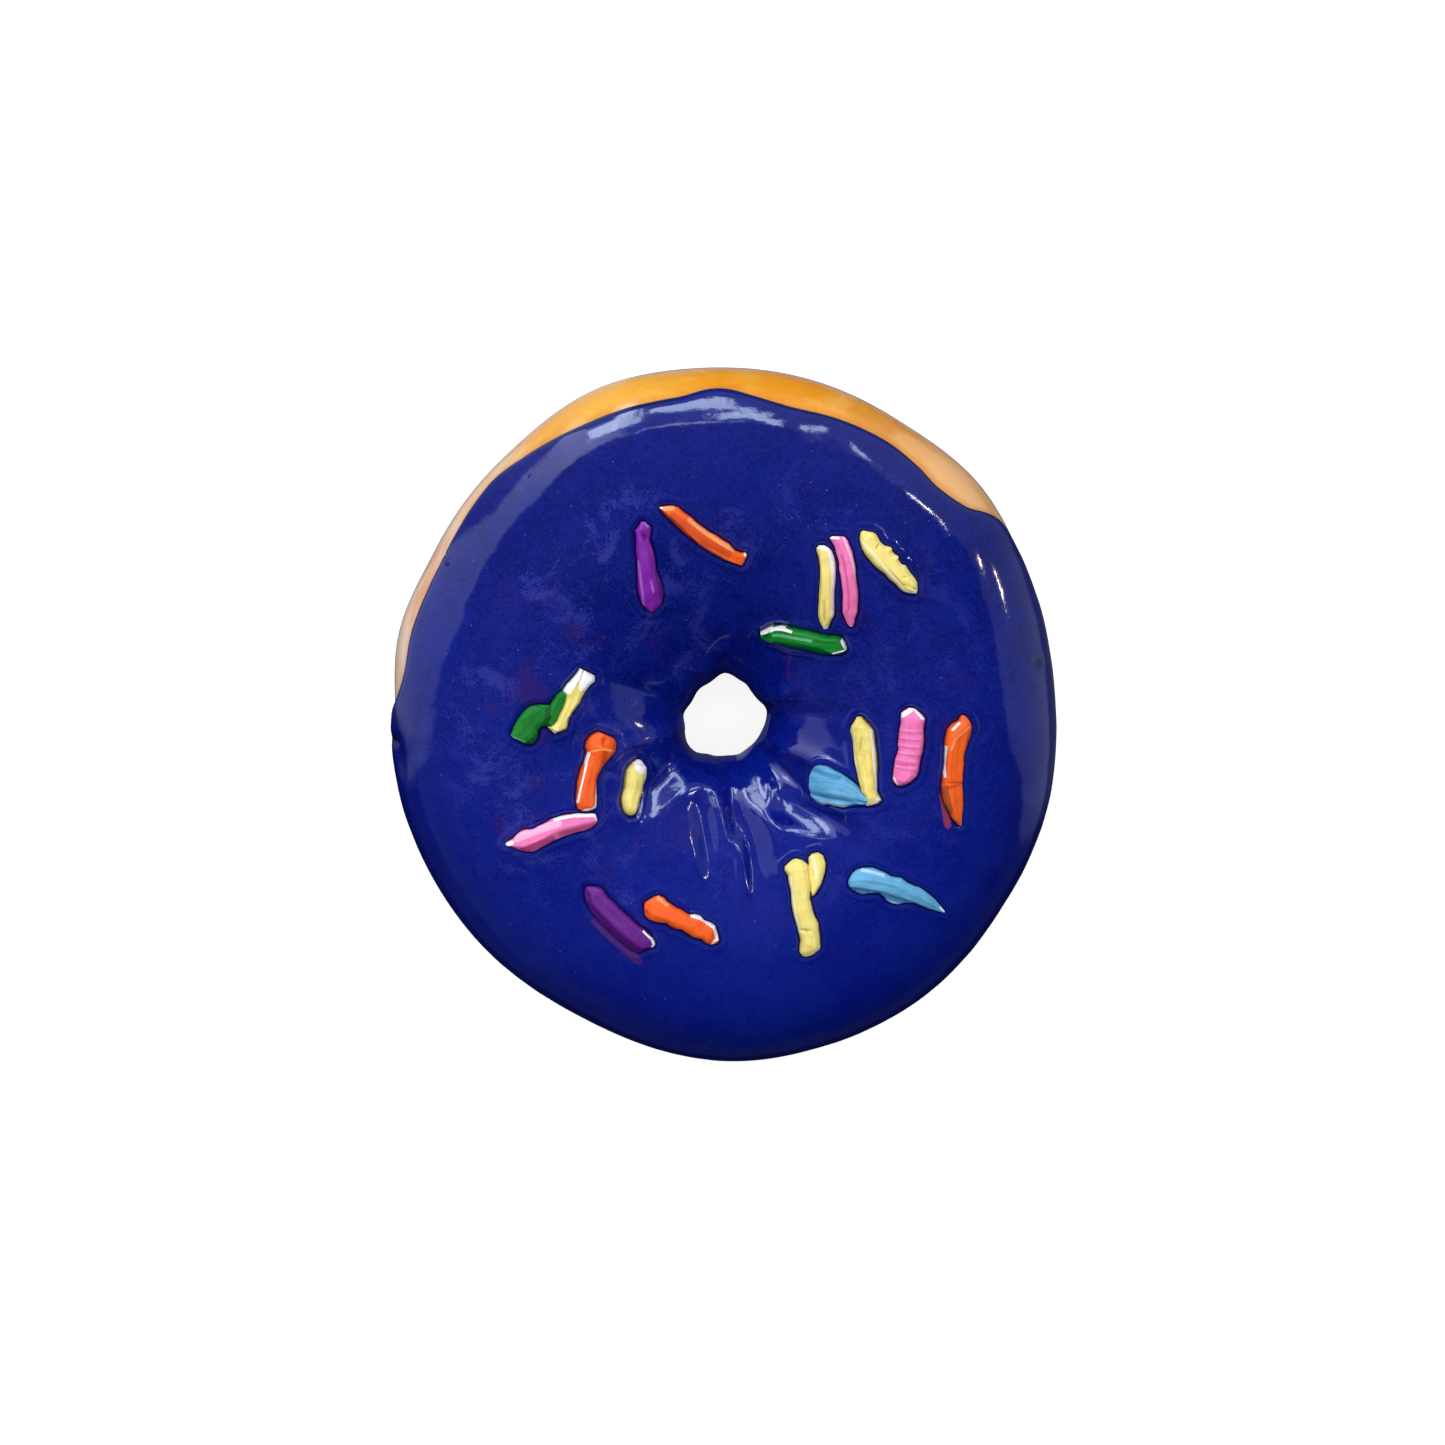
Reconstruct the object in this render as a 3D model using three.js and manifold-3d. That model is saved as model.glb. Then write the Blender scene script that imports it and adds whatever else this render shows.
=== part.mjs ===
// A glazed ceramic ring doughnut, life size and made in one piece: a tan crust, a raised coat of
// icing with a rounded lip, puckers drawn in round the hole, and hand-cut sprinkle bars standing
// on the icing. Millimetres, +Z up. The origin is at the middle of the foot, on the surface that
// the doughnut stands on.

import * as THREE from 'three';
import { mergeVertices } from 'three/addons/utils/BufferGeometryUtils.js';
import Module from 'manifold-3d';

// Plan of the ring. Each knot is [degrees counter-clockwise from +X, value], from 0 up.
const outlineRadii = [
  [0, 45.6], [20, 46.1], [42, 48.3], [60, 47.8], [82, 49], [96, 49.3], [112, 49.5],
  [130, 47.7], [150, 46.5], [165, 47.1], [180, 45.8], [215, 45.4], [240, 46.1], [270, 47.9],
  [290, 48.3], [310, 48.1], [330, 47],
];
const holeRadii = [
  [0, 7.2], [20, 7.4], [45, 6.4], [60, 6.6], [82, 7.25], [105, 6.4], [130, 5.8], [152, 6.1],
  [182, 6.7], [205, 7.1], [230, 7.65], [250, 6.3], [275, 6.1], [304, 6.2], [330, 6], [352, 7],
];

// Section of the ring, as a smooth closed loop. Each knot is [place from the hole (0) to the
// outline (1), height], from the equator over the crest, down the hole and back under.
const sectionKnots = [
  [1, 13], [0.945, 19.6], [0.8, 24.9], [0.56, 27.5], [0.33, 25.9], [0.15, 22], [0.032, 17.4],
  [0, 12.4], [0.09, 3.2], [0.28, 0.1], [0.52, -0.4], [0.77, 0.1], [0.945, 4.6],
];
const equatorStation = 0;
const shoulderStation = 2.6;
const underOutsideStation = -1.5;
const funnelStation = 4;
const throatStation = 7;
const underHoleStation = 8.2;

// Icing: how thick it is, how wide its rounded lip is along the section, in knots, and the
// heights that it reaches down to outside and in the hole.
const icingThickness = 0.9;
const lipWidth = 0.25;
const outerEdgeHeights = [
  [0, 11.5], [18, 13.4], [24, 15], [30, 16.4], [36, 17.6], [39, 19.6], [42, 21.6], [48, 22.4],
  [54, 21.6], [60, 21], [70, 21.4], [78, 22], [84, 21.5], [91, 20.3], [98, 21.3], [112, 21.6],
  [118, 21.1], [126, 19.6], [134, 18.2], [145, 18.8], [162, 19.7], [170, 19.6], [175, 17.8],
  [179, 14.8], [188, 11.5], [215, 9.5], [250, 9], [290, 9.5], [330, 10],
];
const innerEdgeHeights = [[0, 13], [60, 11.5], [120, 11], [180, 10.5], [240, 11], [300, 12]];

// Puckers that run out from the hole. A positive depth is a ridge and a negative one a crease;
// width is from the middle line to the flank, and reach the radius where the pucker dies out,
// from fadeFrom of that radius on.
const puckers = [
  { angle: 8, depth: -0.6, width: 1.6, reach: 22 },
  { angle: 27, depth: 0.8, width: 2.2, reach: 17 },
  { angle: 60, depth: -1.3, width: 2.8, reach: 24 },
  { angle: 88, depth: -0.7, width: 1.1, reach: 12 },
  { angle: 112, depth: 0.5, width: 2.2, reach: 16 },
  { angle: 156, depth: -0.6, width: 1.6, reach: 23 },
  { angle: 172, depth: -0.5, width: 1.1, reach: 16 },
  { angle: 190, depth: 1, width: 2.4, reach: 21 },
  { angle: 317, depth: -1.7, width: 2.3, reach: 29 },
  { angle: 338, depth: 0.8, width: 2, reach: 22 },
];
const fadeFrom = 0.45;
const puckerPower = 1.5;
// The heights over which the puckers, and the dents and lumps, come in. The hole's narrowest part
// and the foot stay smooth.
const puckerHeights = [11, 20];
const unevenHeights = [2, 5];

// Facets that a fingertip has pressed into the funnel, one after another. Each has the place in
// plan and the height of its middle, its slope, the side that it faces, the turn of its long
// axis, half its length and width, and how nearly flat it is.
const facets = [
  { x: 12.6, y: -8.9, z: 23.9, slope: 40, facing: 168, turn: -42, long: 4.5, wide: 2.2, share: 0.8 },
  { x: 9.8, y: -8.6, z: 21.4, slope: 42, facing: 100, turn: -45, long: 4.2, wide: 0.9, share: 0.85 },
  { x: -1.3, y: -14.4, z: 24.4, slope: 35, facing: 160, turn: 97, long: 5.8, wide: 2, share: 0.95 },
  { x: 5, y: -15.8, z: 24.7, slope: 35, facing: 163, turn: 103, long: 7.2, wide: 2.9, share: 0.95 },
  { x: 1.6, y: -19.3, z: 26.4, slope: 34, facing: 160, turn: 93, long: 3.8, wide: 1.5, share: 0.95 },
  { x: -7.6, y: -8.8, z: 22.2, slope: 42, facing: 102, turn: 30, long: 4.8, wide: 2.7, share: 0.85 },
  { x: 4.3, y: -8.8, z: 20.6, slope: 42, facing: 98, turn: 100, long: 2.6, wide: 1.6, share: 0.9 },
  { x: 11.2, y: -12.4, z: 23.3, slope: 40.5, facing: 100, turn: -22, long: 5.4, wide: 2, share: 0.85 },
];
const facetPower = 3;
const facetHeights = [13, 17];

// Finger dents round the shoulder, and the slow unevenness of a ring rolled by hand. A dent's
// place up the shoulder is a station of the section, and a station is about stationLength long.
const dents = [
  { angle: 71, station: 1.9, depth: -0.4, size: 3.6 },
  { angle: 186, station: 0.7, depth: -0.6, size: 4 },
];
const stationLength = 8;
const lumps = [
  { size: 0.3, turns: 2, phase: 0.6, climb: 0 },
  { size: 0.2, turns: 5, phase: 2.1, climb: 0.7 },
  { size: 0.12, turns: 9, phase: 4, climb: -1.1 },
];

// The mesh: columns round the ring, rows over the icing, and fixed rows under it, which keep the
// foot flat.
const columns = 112;
const icingRows = 19;
const lipSteps = [0, 0.12, 0.45, 1];
const underStations = [8, 8.6, 9.1, 10.9, 11.5];
const outsideRows = 4;
const normalStep = 0.001;
const halvings = 40;

// Sprinkle bars. path is the middle line in plan, width the bar's width at each end, height how
// far it stands out of the icing, and tips how much of the width is left at each end.
const bars = [
  { path: [[-8.7, 30.2], [-3.3, 26.2], [2.9, 23.2]], width: [2, 1.9], height: 1.1, tips: [0.5, 0.6] },
  { path: [[-10.9, 28.2], [-10.4, 22.1], [-9.8, 16.2]], width: [2, 3.3], height: 1.2, tips: [0.7, 0.3] },
  { path: [[13.1, 25.1], [13.5, 19.1], [13.9, 13.8]], width: [2.2, 2.1], height: 1.3, tips: [0.7, 0.2] },
  { path: [[15.1, 26.2], [16.9, 20.5], [17.2, 14.2]], width: [2.1, 2.1], height: 1.3, tips: [0.7, 0.3] },
  { path: [[18.8, 26.7], [22.3, 22.8], [25.7, 18.9]], width: [2.8, 2.6], height: 1.3, tips: [0.5, 0.6] },
  { path: [[4.9, 12.7], [10.9, 11.9], [16.8, 11]], width: [2.8, 2.9], height: 1.5, tips: [0.3, 0.5] },
  { path: [[-24.3, 3.2], [-26.2, 0.9], [-28.6, -1.3]], width: [3.6, 3.5], height: 1.2, tips: [0.7, 0.8] },
  { path: [[-18.5, 7.9], [-21.3, 2.3], [-22.8, -0.3]], width: [2.7, 1.8], height: 1.2, tips: [0.8, 0.6] },
  { path: [[-16.7, -1.7], [-18.1, -6.2], [-19, -11]], width: [4.1, 2.8], height: 1.4, tips: [0.6, 0.7] },
  { path: [[-11.8, -4.9], [-12.3, -8.4], [-12.9, -11.9]], width: [2.9, 2.6], height: 1.3, tips: [0.4, 0.4] },
  { path: [[-29.7, -15.6], [-23.8, -13.5], [-17.4, -12.3]], width: [3.2, 2.4], height: 1.2, tips: [0.3, 0.8] },
  { path: [[18.6, 1.4], [19.3, -4.5], [19.9, -10.3]], width: [3.1, 2.3], height: 1.3, tips: [0.4, 0.5] },
  { path: [[12.3, -8], [16.4, -8.4], [20.3, -10]], width: [5, 2.3], height: 1.4, tips: [0.7, 0.3] },
  { path: [[25.4, 2.7], [24.8, -2.6], [23.8, -7.6]], width: [3.4, 3.3], height: 1.3, tips: [0.4, 0.5] },
  { path: [[32.2, 1.7], [31.5, -5.4], [32.1, -13.2]], width: [3.2, 2.5], height: 1.4, tips: [0.5, 0.2] },
  { path: [[17.4, -20.8], [23.9, -21.7], [30.2, -25.4]], width: [3.6, 2], height: 1.2, tips: [0.6, 0.1] },
  { path: [[9.8, -18.4], [10.8, -24.6], [12.1, -30.9]], width: [3.2, 2.9], height: 1.3, tips: [0.7, 0.7] },
  { path: [[-18.1, -22], [-14.3, -25.6], [-10.2, -29.3]], width: [3.2, 3.4], height: 1.3, tips: [0.5, 0.4] },
  { path: [[-10.3, -24.3], [-5.8, -26.2], [-1.2, -28.2]], width: [3.4, 2.7], height: 1.3, tips: [0.6, 0.6] },
];
const barSink = 1.4;
const shoulderHeight = 0.55;
const topShare = 0.5;
const tipHeight = 0.45;
const shoulderBack = 0.55;
const facingReach = 1.2;

const icingBlue = 0x1a2378;

// Cubic curve from start to end with a slope at each, over share from 0 to 1.
function hermite(start, slope, end, endSlope, share) {
  const square = share * share;
  const cube = square * share;
  return (2 * cube - 3 * square + 1) * start + (cube - 2 * square + share) * slope
    + (3 * square - 2 * cube) * end + (cube - square) * endSlope;
}

// Value at an angle of a smooth curve that runs once round through the knots.
function around(knots, degrees) {
  const turn = THREE.MathUtils.euclideanModulo(degrees, 360);
  const low = knots.findLastIndex(([angle]) => angle <= turn);
  const near = [-1, 0, 1, 2].map((step) => {
    const lap = Math.floor((low + step) / knots.length);
    const [angle, value] = knots[low + step - lap * knots.length];
    return { angle: angle + 360 * lap, value };
  });
  const [before, start, end, after] = near;
  const span = end.angle - start.angle;
  const slope = (span * (end.value - before.value)) / (end.angle - before.angle);
  const endSlope = (span * (after.value - start.value)) / (after.angle - start.angle);
  return hermite(start.value, slope, end.value, endSlope, (turn - start.angle) / span);
}

// Place and height on the section at a station, which counts knots from the equator.
function sectionAt(station) {
  const count = sectionKnots.length;
  const low = Math.floor(station);
  const [before, start, end, after] = [-1, 0, 1, 2].map(
    (step) => sectionKnots[THREE.MathUtils.euclideanModulo(low + step, count)],
  );
  return [0, 1].map((part) => hermite(
    start[part],
    (end[part] - before[part]) / 2,
    end[part],
    (after[part] - start[part]) / 2,
    station - low,
  ));
}

// The station between low and high where the test turns from true to false.
function halve(low, high, isBefore) {
  let [from, to] = [low, high];
  for (let step = 0; step < halvings; step += 1) {
    const middle = (from + to) / 2;
    if (isBefore(middle)) from = middle;
    else to = middle;
  }
  return (from + to) / 2;
}

function icingEdges(degrees) {
  const outerHeight = around(outerEdgeHeights, degrees);
  const innerHeight = around(innerEdgeHeights, degrees);
  const isUnderOuter = (station) => sectionAt(station)[1] < outerHeight;
  const isOverInner = (station) => sectionAt(station)[1] > innerHeight;
  return {
    outer: halve(underOutsideStation, shoulderStation, isUnderOuter),
    inner: halve(funnelStation, underHoleStation, isOverInner),
  };
}

// How far the icing stands off the crust: a quarter round at each edge, then its full thickness.
function icingAt(station, edges) {
  const inward = Math.min(station - edges.outer, edges.inner - station) / lipWidth;
  const share = THREE.MathUtils.clamp(inward, 0, 1);
  return icingThickness * Math.sqrt(1 - (1 - share) ** 2);
}

function puckersAt(degrees, radius) {
  let sum = 0;
  for (const { angle, depth, width, reach } of puckers) {
    const across = radius * Math.sin(THREE.MathUtils.degToRad(degrees - angle));
    const isSameSide = Math.cos(THREE.MathUtils.degToRad(degrees - angle)) > 0;
    const fade = 1 - THREE.MathUtils.smoothstep(radius, reach * fadeFrom, reach);
    if (isSameSide) sum += depth * fade * Math.exp(-(Math.abs(across / width) ** puckerPower));
  }
  return sum;
}

function unevennessAt(station, degrees, outline) {
  const turn = THREE.MathUtils.degToRad(degrees);
  let sum = 0;
  for (const { size, turns, phase, climb } of lumps) {
    sum += size * Math.sin(turns * turn + phase + climb * station);
  }
  for (const { angle, station: middle, depth, size } of dents) {
    const along = outline * Math.sin(THREE.MathUtils.degToRad(degrees - angle));
    const up = (station - middle) * stationLength;
    const isSameSide = Math.cos(THREE.MathUtils.degToRad(degrees - angle)) > 0;
    if (isSameSide) sum += depth * Math.exp(-(along ** 2 + up ** 2) / size ** 2);
  }
  return sum;
}

// The height of a point after the facets; depth is how far it lies under the icing's surface.
function pressedHeight(x, y, before, depth) {
  const top = THREE.MathUtils.smoothstep(before, ...facetHeights);
  let height = before;
  for (const facet of facets) {
    const [turn, facing, slope] = [facet.turn, facet.facing, facet.slope].map(THREE.MathUtils.degToRad);
    const [right, ahead] = [x - facet.x, y - facet.y];
    const along = (right * Math.cos(turn) + ahead * Math.sin(turn)) / facet.long;
    const across = (ahead * Math.cos(turn) - right * Math.sin(turn)) / facet.wide;
    const weight = Math.exp(-(Math.abs(along) ** facetPower) - Math.abs(across) ** facetPower);
    const fall = Math.tan(slope) * (Math.cos(facing) * right + Math.sin(facing) * ahead);
    height += facet.share * weight * top * (facet.z - fall - depth - height);
  }
  return height;
}

// A point of the glazed surface at a station of the section and an angle round the ring.
function surfacePoint(station, degrees, edges) {
  const outline = around(outlineRadii, degrees);
  const hole = around(holeRadii, degrees);
  const place = ([share, height]) => [hole + share * (outline - hole), height];
  const [radius, height] = place(sectionAt(station));
  const [radiusBefore, heightBefore] = place(sectionAt(station - normalStep));
  const [radiusAfter, heightAfter] = place(sectionAt(station + normalStep));
  const normal = new THREE.Vector2(heightAfter - heightBefore, radiusBefore - radiusAfter);
  normal.normalize();
  const icing = icingAt(station, edges);
  const offset = icing
    + puckersAt(degrees, radius) * THREE.MathUtils.smoothstep(height, ...puckerHeights)
    + unevennessAt(station, degrees, outline) * THREE.MathUtils.smoothstep(height, ...unevenHeights);
  const reach = radius + normal.x * offset;
  const turn = THREE.MathUtils.degToRad(degrees);
  const [x, y] = [reach * Math.cos(turn), reach * Math.sin(turn)];
  const z = pressedHeight(x, y, height + normal.y * offset, icingThickness - icing);
  return new THREE.Vector3(x, y, Math.max(z, 0));
}

// The stations of one column, from the icing's outer edge over the top and back to it.
function columnStations(edges) {
  const { outer, inner } = edges;
  const stations = lipSteps.map((step) => outer + step * lipWidth);
  for (let row = 1; row <= icingRows; row += 1) {
    const share = row / (icingRows + 1);
    stations.push(THREE.MathUtils.lerp(outer + lipWidth, inner - lipWidth, share));
  }
  for (const step of [...lipSteps].reverse()) stations.push(inner - step * lipWidth);
  stations.push(...underStations);
  const from = underStations.at(-1);
  for (let row = 1; row <= outsideRows; row += 1) {
    const share = row / (outsideRows + 1);
    stations.push(THREE.MathUtils.lerp(from, outer + sectionKnots.length, share));
  }
  return stations;
}

// A net of closed lines. wrapsLines is false where the first and last line are capped by a fan.
function netGeometry(lines, wrapsLines) {
  const size = lines[0].length;
  const faces = [];
  const lineCount = wrapsLines ? lines.length : lines.length - 1;
  for (let line = 0; line < lineCount; line += 1) {
    const here = line * size;
    const next = ((line + 1) % lines.length) * size;
    for (let row = 0; row < size; row += 1) {
      const above = (row + 1) % size;
      faces.push(here + row, next + row, next + above);
      faces.push(here + row, next + above, here + above);
    }
  }
  if (!wrapsLines) {
    const last = (lines.length - 1) * size;
    for (let row = 1; row < size - 1; row += 1) {
      faces.push(0, row, row + 1);
      faces.push(last, last + row + 1, last + row);
    }
  }
  const geometry = new THREE.BufferGeometry().setFromPoints(lines.flat());
  geometry.setIndex(faces);
  return geometry;
}

function ringGeometry() {
  const lines = [];
  for (let column = 0; column < columns; column += 1) {
    const degrees = (360 * column) / columns;
    const edges = icingEdges(degrees);
    const stations = columnStations(edges);
    lines.push(stations.map((station) => {
      const wrapped = station > underStations.at(-1) ? station - sectionKnots.length : station;
      return surfacePoint(wrapped, degrees, edges);
    }));
  }
  return netGeometry(lines, true);
}

// The point of the icing above a place in plan, and the direction that it faces there.
function icingPoint(x, y) {
  const radius = Math.hypot(x, y);
  const degrees = THREE.MathUtils.radToDeg(Math.atan2(y, x));
  const edges = icingEdges(degrees);
  const isOutside = (station) => {
    const point = surfacePoint(station, degrees, edges);
    return Math.hypot(point.x, point.y) > radius;
  };
  return surfacePoint(halve(equatorStation, throatStation, isOutside), degrees, edges);
}

function icingNormal(x, y) {
  const alongX = icingPoint(x + facingReach, y).sub(icingPoint(x - facingReach, y));
  const alongY = icingPoint(x, y + facingReach).sub(icingPoint(x, y - facingReach));
  return alongX.cross(alongY).normalize();
}

// A bar with bevelled long edges and cut-back ends, sunk into the icing that it lies on.
function barGeometry({ path, width, height, tips }) {
  const points = path.map(([x, y]) => icingPoint(x, y));
  const first = points[0];
  const last = points.at(-1);
  const places = [
    { at: first, ahead: points[1], width: width[0] * tips[0], height: height * tipHeight },
    {
      at: first.clone().lerp(points[1], (shoulderBack * width[0]) / first.distanceTo(points[1])),
      ahead: points[1],
      width: width[0],
      height,
    },
    { at: points[1], ahead: last, width: (width[0] + width[1]) / 2, height },
    {
      at: last.clone().lerp(points[1], (shoulderBack * width[1]) / last.distanceTo(points[1])),
      ahead: last,
      width: width[1],
      height,
    },
    { at: last, behind: points[1], width: width[1] * tips[1], height: height * tipHeight },
  ];
  const lines = places.map((place) => {
    const up = icingNormal(place.at.x, place.at.y);
    const along = place.ahead ? place.ahead.clone().sub(place.at) : place.at.clone().sub(place.behind);
    const side = up.clone().cross(along).normalize();
    const half = place.width / 2;
    const section = [
      [-half, -barSink],
      [-half, place.height * shoulderHeight],
      [-half * topShare, place.height],
      [half * topShare, place.height],
      [half, place.height * shoulderHeight],
      [half, -barSink],
    ];
    return section.map(([across, rise]) => place.at.clone()
      .addScaledVector(side, across)
      .addScaledVector(up, rise));
  });
  return netGeometry(lines, false);
}

const wasm = await Module();
wasm.setup();

function solidFrom(geometry) {
  const merged = mergeVertices(geometry);
  return new wasm.Manifold(new wasm.Mesh({
    numProp: 3,
    vertProperties: new Float32Array(merged.attributes.position.array),
    triVerts: new Uint32Array(merged.index.array),
  }));
}

function geometryFrom(solid) {
  const { vertProperties, triVerts } = solid.getMesh();
  const geometry = new THREE.BufferGeometry();
  geometry.setAttribute('position', new THREE.BufferAttribute(vertProperties, 3));
  geometry.setIndex([...triVerts]);
  geometry.computeVertexNormals();
  return geometry;
}

function doughnutGeometry() {
  let solid = solidFrom(ringGeometry());
  for (const bar of bars) solid = solid.add(solidFrom(barGeometry(bar)));
  return geometryFrom(solid);
}

const glaze = new THREE.MeshStandardMaterial({ color: icingBlue, roughness: 0.12, metalness: 0 });
const doughnut = new THREE.Mesh(doughnutGeometry(), glaze);
doughnut.name = 'doughnut';

const group = new THREE.Group();
group.add(doughnut);

export default group;
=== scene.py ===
# A glazed ceramic ring doughnut: tan crust, raised blue icing, painted sprinkle bars and a bare
# foot. Settings are in millimetres and degrees; the meshes are made in metres.
import math

import bmesh
import bpy
import numpy as np
from mathutils import Matrix, Vector


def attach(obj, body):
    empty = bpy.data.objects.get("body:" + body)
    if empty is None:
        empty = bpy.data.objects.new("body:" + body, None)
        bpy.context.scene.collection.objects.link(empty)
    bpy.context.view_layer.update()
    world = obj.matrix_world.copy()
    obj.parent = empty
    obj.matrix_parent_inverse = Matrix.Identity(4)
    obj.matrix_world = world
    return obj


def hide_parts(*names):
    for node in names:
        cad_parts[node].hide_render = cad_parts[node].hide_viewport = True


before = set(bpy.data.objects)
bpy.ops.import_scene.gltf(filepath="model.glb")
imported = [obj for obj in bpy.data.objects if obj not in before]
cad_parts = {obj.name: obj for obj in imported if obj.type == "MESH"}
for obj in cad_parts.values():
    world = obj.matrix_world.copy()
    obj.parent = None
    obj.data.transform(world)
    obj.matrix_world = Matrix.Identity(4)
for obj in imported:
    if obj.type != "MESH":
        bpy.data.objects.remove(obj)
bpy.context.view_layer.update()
millimetre = 0.001  # in metres

# Camera
cameraSettings = {
    "target": (-0.1, -0.55, 14),
    "distance": 450,
    "tilt": 7,  # from straight above
    "towards": 97,  # the side that it leans to, from +X
    "pictureWidth": 202.3,  # what the picture spans at the target
}


def makeCamera():
    tilt, towards = (math.radians(cameraSettings[name]) for name in ("tilt", "towards"))
    away = Vector((math.sin(tilt)*math.cos(towards), math.sin(tilt)*math.sin(towards), math.cos(tilt)))
    right = Vector((0, 1, 0)).cross(away).normalized()
    up = away.cross(right)
    place = (Vector(cameraSettings["target"]) + away*cameraSettings["distance"])*millimetre
    camera = bpy.data.objects.new("camera", bpy.data.cameras.new("camera"))
    bpy.context.scene.collection.objects.link(camera)
    camera.matrix_world = Matrix.Translation(place) @ Matrix((right, up, away)).transposed().to_4x4()
    camera.data.angle = 2*math.atan(cameraSettings["pictureWidth"]/2/cameraSettings["distance"])
    camera.data.clip_start = 0.01
    bpy.context.scene.camera = camera


makeCamera()
print("camera placed")

# The ring's shape: the same plan, section, icing edges, puckers and dents as the solid has
ring = {
    "outlineRadii": [(0, 45.6), (20, 46.1), (42, 48.3), (60, 47.8), (82, 49), (96, 49.3), (112, 49.5),
                     (130, 47.7), (150, 46.5), (165, 47.1), (180, 45.8), (215, 45.4), (240, 46.1),
                     (270, 47.9), (290, 48.3), (310, 48.1), (330, 47)],
    "holeRadii": [(0, 7.2), (20, 7.4), (45, 6.4), (60, 6.6), (82, 7.25), (105, 6.4), (130, 5.8),
                  (152, 6.1), (182, 6.7), (205, 7.1), (230, 7.65), (250, 6.3), (275, 6.1), (304, 6.2),
                  (330, 6), (352, 7)],
    "section": [(1, 13), (0.945, 19.6), (0.8, 24.9), (0.56, 27.5), (0.33, 25.9), (0.15, 22),
                (0.032, 17.4), (0, 12.4), (0.09, 3.2), (0.28, 0.1), (0.52, -0.4), (0.77, 0.1),
                (0.945, 4.6)],
    "outerEdge": [(0, 11.5), (18, 13.4), (24, 15), (30, 16.4), (36, 17.6), (39, 19.6), (42, 21.6),
                  (48, 22.4), (54, 21.6), (60, 21), (70, 21.4), (78, 22), (84, 21.5), (91, 20.3),
                  (98, 21.3), (112, 21.6), (118, 21.1), (126, 19.6), (134, 18.2), (145, 18.8),
                  (162, 19.7), (170, 19.6), (175, 17.8), (179, 14.8), (188, 11.5), (215, 9.5),
                  (250, 9), (290, 9.5), (330, 10)],
    "innerEdge": [(0, 13), (60, 11.5), (120, 11), (180, 10.5), (240, 11), (300, 12)],
    "icingThickness": 0.9,
    "lipWidth": 0.25,  # in stations
    # angle, depth, width, reach
    "puckers": [(8, -0.6, 1.6, 22), (27, 0.8, 2.2, 17), (60, -1.3, 2.8, 24), (88, -0.7, 1.1, 12),
                (112, 0.5, 2.2, 16), (156, -0.6, 1.6, 23), (172, -0.5, 1.1, 16), (190, 1, 2.4, 21),
                (317, -1.7, 2.3, 29), (338, 0.8, 2, 22)],
    "puckerHeights": (11, 20),
    "unevenHeights": (2, 5),
    # pressed by a fingertip: x, y, z, slope, side it faces, turn, half length and width, how flat
    "facets": [(12.6, -8.9, 23.9, 40, 168, -42, 4.5, 2.2, 0.8),
               (9.8, -8.6, 21.4, 42, 100, -45, 4.2, 0.9, 0.85),
               (-1.3, -14.4, 24.4, 35, 160, 97, 5.8, 2, 0.95),
               (5, -15.8, 24.7, 35, 163, 103, 7.2, 2.9, 0.95),
               (1.6, -19.3, 26.4, 34, 160, 93, 3.8, 1.5, 0.95),
               (-7.6, -8.8, 22.2, 42, 102, 30, 4.8, 2.7, 0.85),
               (4.3, -8.8, 20.6, 42, 98, 100, 2.6, 1.6, 0.9),
               (11.2, -12.4, 23.3, 40.5, 100, -22, 5.4, 2, 0.85)],
    "facetHeights": (13, 17),
    # angle, station, depth, size
    "dents": [(71, 1.9, -0.4, 3.6), (186, 0.7, -0.6, 4)],
    # size, turns, phase, climb
    "lumps": [(0.3, 2, 0.6, 0), (0.2, 5, 2.1, 0.7), (0.12, 9, 4, -1.1)],
    "seam": 20,  # the angle where the columns start, clear of any bar
}


def hermite(start, slope, end, endSlope, share):
    square, cube = share**2, share**3
    return ((2*cube - 3*square + 1)*start + (cube - 2*square + share)*slope
            + (3*square - 2*cube)*end + (cube - square)*endSlope)


def smooth(value, low, high):
    share = np.clip((value - low)/(high - low), 0, 1)
    return share*share*(3 - 2*share)


def around(knots, degrees):  # a closed curve's value at an angle
    angles, values = np.array(knots, float).T
    turn = np.mod(degrees, 360)
    low = np.searchsorted(angles, turn, side="right") - 1

    def knot(step):
        lap = np.floor_divide(low + step, len(angles))
        index = low + step - lap*len(angles)
        return angles[index] + 360*lap, values[index]

    (a0, v0), (a1, v1), (a2, v2), (a3, v3) = [knot(step) for step in (-1, 0, 1, 2)]
    span = a2 - a1
    return hermite(v1, span*(v2 - v0)/(a2 - a0), v2, span*(v3 - v1)/(a3 - a1), (turn - a1)/span)


def sectionAt(station):  # place from hole to outline, and height
    knots = np.array(ring["section"], float)
    low = np.floor(station).astype(int)
    before, start, end, after = [knots[(low + step) % len(knots)] for step in (-1, 0, 1, 2)]
    share = (station - low)[..., None]
    return np.moveaxis(hermite(start, (end - before)/2, end, (after - start)/2, share), -1, 0)


def halve(low, high, isBefore):
    for _ in range(34):
        middle = (low + high)/2
        before = isBefore(middle)
        low, high = np.where(before, middle, low), np.where(before, high, middle)
    return (low + high)/2


def icingEdges(degrees):
    outerHeight, innerHeight = around(ring["outerEdge"], degrees), around(ring["innerEdge"], degrees)
    zero = np.zeros(np.shape(degrees))
    outer = halve(zero - 1.5, zero + 2.6, lambda station: sectionAt(station)[1] < outerHeight)
    inner = halve(zero + 4, zero + 8.2, lambda station: sectionAt(station)[1] > innerHeight)
    return outer, inner


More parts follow.
